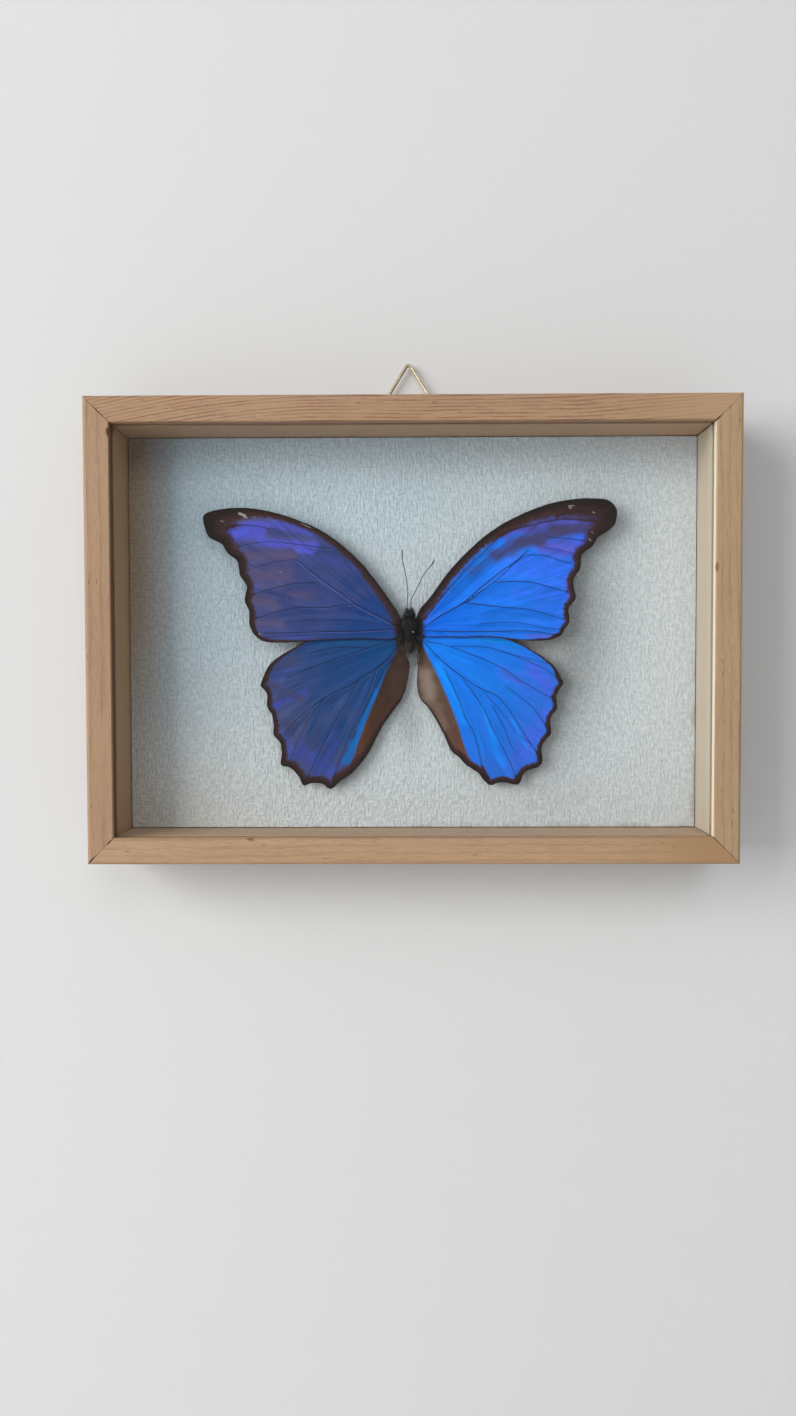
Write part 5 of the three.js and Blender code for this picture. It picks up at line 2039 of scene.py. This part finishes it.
@dataclass
class Body:
    """The furry body with its eyes, antennae, legs and pin.

    Attributes:
        voxel: The flesh's mesh size, mm.
        head_depth: How deep the head's middle lies, mm.
    """

    voxel: float = 0.16
    head_depth: float = WING_DEPTH - 0.4

    def lobes(self) -> dict[str, list[Lobe]]:
        """Lists the body's lobes by what grows on them."""
        sides = (-1, 1)
        palps = [Lobe((BODY_X + side * 0.85, WING_DEPTH - 1.4, 6.9), (0.4, 0.45, 1.1)) for side in sides]
        shoulders = [Lobe((BODY_X + side * 1.4, WING_DEPTH + 0.2, 2.4), (1.4, 1.9, 2.6)) for side in sides]
        chest = Lobe((BODY_X, WING_DEPTH + 0.2, 0.8), (2.2, 2.3, 4.9))
        stump = Lobe((BODY_X, WING_DEPTH + 0.3, -3.9), (1.6, 1.7, 2.9))
        head = Lobe((BODY_X, self.head_depth, 5.9), (1.5, 1.6, 1.4))
        return {"head": [head, *palps], "trunk": [chest, *shoulders, stump]}

    @staticmethod
    def joined(
        name: str, lobes: Sequence[Lobe], rows: int, sides: int, material: bpy.types.Material
    ) -> bpy.types.Object:
        """Makes one piece of several lobes.

        Args:
            name: The piece's name.
            lobes: The lobes.
            rows: Rows of faces from pole to pole of each.
            sides: Faces round each.
            material: The piece's material.

        Returns:
            The piece.
        """
        points, faces, start = [], [], 0
        for lobe in lobes:
            place, quads = lobe.points(rows, sides)
            points.append(place)
            faces += [[start + i for i in face] for face in quads]
            start += len(place)
        return make_piece(name, INSECT.metres(np.vstack(points)), faces, [material])

    def flesh(self, name: str, lobes: Sequence[Lobe], material: bpy.types.Material) -> bpy.types.Object:
        """Joins lobes into one smooth closed skin, with a fur attribute."""
        source = self.joined(name + "_lobes", lobes, 16, 24, material)
        settle(source, 80)
        remesh = source.modifiers.new("join", "REMESH")
        remesh.mode, remesh.voxel_size = "VOXEL", self.voxel * MM
        source.modifiers.new("relax", "SMOOTH").iterations = 3
        piece = plain_piece(name, source, material)
        set_attribute(piece.data, "fur", np.ones(len(piece.data.vertices)))
        settle(piece, 80)
        return piece

    def down(self, side: Side) -> None:
        """Grows brown hair over one side's wing bases: a dark tuft and, below it, soft down."""
        hem = ((1.0, -1.5), (3.4, -2.2), (4.6, -5.0), (3.6, -9.0), (2.2, -10.5), (0.9, -8.0), (0.7, -4.0))
        tuft = ((1.0, 5.4), (2.6, 5.2), (3.8, 3.4), (4.2, 0.6), (3.8, -2.4), (2.2, -3.6), (1.0, -1.0))
        soft, dark = (paint(52, 40, 33), paint(90, 70, 56)), (paint(22, 16, 15), paint(60, 42, 33))
        rows = (
            ("down", hem, 0.9, soft, 26.0, 2.4, (side.value * 0.5, 0.2, -2.4)),
            ("tuft", tuft, -0.5, dark, 30.0, 1.6, (side.value * 2.4, 0.1, -0.3)),
        )
        for i, (kind, rim, back, tones, density, length, comb) in enumerate(rows):
            name = f"wing_{kind}_{side.name.lower()}"
            outline = smooth_path([(BODY_X + side.value * x, z) for x, z in rim], True, 6)
            depth, count = WING_DEPTH + back, len(outline)
            x, z = outline.T
            points = np.stack([np.r_[x.mean(), x], np.full(count + 1, depth), np.r_[z.mean(), z]], 1)
            faces = [[0, 1 + j, 1 + (j + 1) % count] for j in range(count)]
            source = make_piece(name + "_patch", INSECT.metres(points), faces)
            face_forwards(source)
            set_attribute(source.data, "fur", np.r_[1.0, np.full(count, 0.3)])
            hair = ChitinFinish(name, *tones, (-9, -2), 0.75, 1.0).material()
            piece = FUR.grow(
                name, source, hair, Density=density, Length=length, Thickness=0.03, Comb=comb, Spread=0.7,
                Seed=31 + side.value + 5 * i,
            )
            hand_over(piece, "insect_fur")

    def eyes(self) -> None:
        """Builds the two eyes."""
        depth, half, dark = self.head_depth - 0.15, (0.85, 1.05, 0.95), paint(26, 18, 15)
        lobes = [Lobe((BODY_X + side * 1.2, depth, 5.7), half) for side in (-1, 1)]
        shine = ChitinFinish("eye_facets", dark, dark, rough=0.25, vary=0.3).material()
        hand_over(self.joined("insect_eyes", lobes, 20, 28, shine), "chitin", sharp=80)

    def limbs(self, chitin: bpy.types.Material) -> None:
        """Builds the antennae and the four folded legs."""
        left = ((-1.5, 6.6), (-1.7, 7.7), (-1.5, 13.6), (-1.8, 16.4), (-2.3, 19.6), (-3.2, 24), (-3.3, 27.3))
        right = (
            (-0.6, 6.6), (-0.5, 7.7), (-0.3, 10.7), (1.2, 13.9), (2.8, 17), (4.2, 19.6), (6.3, 22.1),
            (7.3, 23.8),
        )
        for node, route in {"antenna_left": left, "antenna_right": right}.items():
            path = even_path(smooth_path([(x, self.head_depth, z) for x, z in route], per_span=10), 70)
            share = np.linspace(0, 1, len(path))
            joints = 1 + 0.12 * np.sin(share * 2 * math.pi * 22)
            radius = (0.13 + 0.08 * eased(share, 0.8, 0.95) - 0.05 * eased(share, 0.97, 1.0)) * joints
            hand_over(tube_piece(node + "_stalk", [path], [radius], chitin), "chitin", node, sharp=60)
        joints = ((0, 3, 0), (2, 3.15, -1.4), (2.6, 3.25, -4.6), (1.8, 3.35, -7.6), (2.6, 3.4, -9.6))
        for pair, z, wide in (("middle", 2.0, 1.4), ("hind", -1.6, 0.75)):
            for side in Side:
                route = [
                    (BODY_X + side.value * (1.2 + wide * x), WING_DEPTH + back, z + down)
                    for x, back, down in joints
                ]
                path = even_path(smooth_path(route, per_span=10), 60)
                share = np.linspace(0, 1, len(path))
                radius = 0.3 - 0.16 * share + 0.05 * bell(share - 0.28, 0.03)
                node = f"leg_{pair}_{side.name.lower()}"
                leg = tube_piece(node + "_joints", [path], [radius], chitin, 10)
                hand_over(leg, "chitin", node, sharp=60)

    def pin(self) -> None:
        """Builds the steel pin, its cut end just clear of the fur."""
        steel = MetalFinish("pin_steel", paint(190, 190, 194), paint(120, 112, 104), 0.22).material()
        depths = np.array([16.2, 16.26, 16.4, 20, 25.2, 26.0])
        radius = np.array([0.08, 0.2, 0.25, 0.25, 0.25, 0.04])
        path = np.stack([np.full(6, BODY_X + 1.2), depths, np.full(6, 0.3)], 1)
        piece = tube_piece("specimen_pin", [path], [radius], steel, 20, PLACE)
        hand_over(piece, "steel", "insect_pin", sharp=50)

    def build(self) -> None:
        """Builds the body."""
        lobes = self.lobes()
        skin = ChitinFinish("insect_skin", paint(16, 13, 12), paint(46, 34, 27), (-6, -2), 0.7).material()
        dark = ChitinFinish("dark_fur", paint(22, 18, 17), paint(66, 50, 42), (-6, -1.5), 0.7, 1.3).material()
        head, trunk = (self.flesh("insect_" + part, lobes[part], skin) for part in ("head", "trunk"))
        for name, bare, density, length, thickness, comb, seed in (
            ("head_fur", head, 30.0, 0.9, 0.025, (0.0, -0.3, 0.5), 3),
            ("trunk_fur", trunk, 22.0, 1.15, 0.03, (0.0, -0.1, -1.0), 7),
        ):
            source = linked(name + "_skin", bare.data.copy())
            piece = FUR.grow(
                name, source, dark, Density=density, Length=length, Thickness=thickness, Comb=comb,
                Spread=0.6, Seed=seed,
            )
            hand_over(piece, "insect_fur")
        hand_over(head, "insect_fur")
        hand_over(trunk, "insect_fur", "insect_body")
        for side in Side:
            self.down(side)
        self.eyes()
        self.limbs(ChitinFinish("limb_chitin", paint(34, 28, 26), paint(34, 28, 26), rough=0.45).material())
        self.pin()


# ------------------------------------------------------------------ camera, light and stage


@dataclass(frozen=True)
class Studio:
    """The camera, the pale wall and floor, and the soft lights.

    Attributes:
        eye: The camera's place, (x, depth, z) in mm of the box.
        tilt: Its turns about x, y and z, degrees.
        lens: Its focal length, mm.
    """

    eye: tuple[float, float, float] = (-1.3, -339.8, -13.0)
    tilt: tuple[float, float, float] = (88.04, 0.57, -0.12)
    lens: float = 27.05

    def camera(self) -> None:
        """Makes the camera."""
        data = bpy.data.cameras.new("camera")
        data.lens, data.clip_start = self.lens, 0.01
        camera = linked("camera", data)
        turns = [Matrix.Rotation(math.radians(angle), 4, axis) for angle, axis in zip(self.tilt, "XYZ")]
        camera.matrix_world = Matrix.Translation(PLACE.metres(self.eye)) @ turns[0] @ turns[1] @ turns[2]
        bpy.context.scene.camera = camera

    @staticmethod
    def stage() -> None:
        """Makes the pale wall, which sweeps forward into a pale floor."""
        wall, drop, bend, reach, wide = 0.0018, -0.75, 0.3, 3.0, 3.5
        profile = [(wall, 2.2), (wall, drop + bend)]
        for a in np.linspace(0, math.pi / 2, 17)[1:]:
            profile.append((wall - bend + bend * math.cos(a), drop + bend - bend * math.sin(a)))
        profile.append((-reach, drop))
        points = [(x, y, z) for y, z in profile for x in (-wide, wide)]
        faces = [[2 * i, 2 * i + 1, 2 * i + 3, 2 * i + 2] for i in range(len(profile) - 1)]
        s = Finish("pale_stage")
        cloud = s.noise(s.value("ShaderNodeTexCoord", output="Object"), 2.0)
        tone = s.blend(cloud, (0.52, 0.52, 0.515, 1), (0.55, 0.55, 0.545, 1))
        behind = s.value("ShaderNodeNewGeometry", output="Backfacing")
        s.let_through(s.most(behind, s.value("ShaderNodeLightPath", output="Is Shadow Ray")))
        pale = s.finished({"Base Color": tone, "Roughness": 0.9})
        floor = make_piece("stage", np.array(points), faces, [pale])
        settle(floor, 60)
        face_forwards(floor)

    @staticmethod
    def lamp(name: str, place: tuple, aim: tuple, size: float, power: float, tint: tuple) -> None:
        """Makes a square area light.

        Args:
            name: The light's name.
            place: Its place in metres.
            aim: The point that it faces.
            size: Its side in metres.
            power: Its power in watts.
            tint: Its colour.
        """
        data = bpy.data.lights.new(name, "AREA")
        data.size, data.energy, data.color = size, power, tint
        light = linked(name, data)
        light.location = place
        light.rotation_euler = (Vector(aim) - Vector(place)).to_track_quat("-Z", "Y").to_euler()

    def lights(self) -> None:
        """Makes the soft window-like key, the fills and the pale surroundings."""
        aim = (0.0, -0.01, -0.09)
        self.lamp("key", (-1.7, -1.35, 0.4), aim, 1.5, 56.0, (1.0, 0.99, 0.975))
        self.lamp("fill", (0.35, -2.4, 1.15), aim, 1.0, 12.0, (0.95, 0.98, 1.0))
        self.lamp("rear", (0.9, 1.6, 0.7), aim, 1.4, 38.0, (1.0, 0.99, 0.97))
        world = bpy.data.worlds.new("pale_room")
        world.use_nodes = True
        s = Sketch(world.node_tree)
        around = s.tree.nodes["Background"]
        s.feed(around.inputs["Color"], (0.92, 0.95, 1.0, 1.0))
        s.feed(around.inputs["Strength"], 0.54)
        dim = s.value("ShaderNodeBackground", {"Color": (0.9, 0.95, 1.0, 1.0), "Strength": 0.07})
        glossy = s.value("ShaderNodeLightPath", output="Is Glossy Ray")
        mixed = s.value("ShaderNodeMixShader", {0: glossy, 1: around.outputs[0], 2: dim})
        s.feed(s.tree.nodes["World Output"].inputs["Surface"], mixed)
        bpy.context.scene.world = world
        bpy.context.scene.view_settings.view_transform = "Standard"

    def build(self) -> None:
        """Sets the scene."""
        self.camera()
        self.stage()
        self.lights()


def main() -> None:
    """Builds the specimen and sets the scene."""
    logging.basicConfig(level=logging.INFO, format="%(name)s: %(message)s")
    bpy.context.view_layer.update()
    BoxFrame().build()
    Hanger().build()
    for wing in (right_forewing(), left_forewing(), right_hindwing(), left_hindwing()):
        wing.build()
    Body().build()
    Studio().build()


if __name__ == "__main__":
    main()
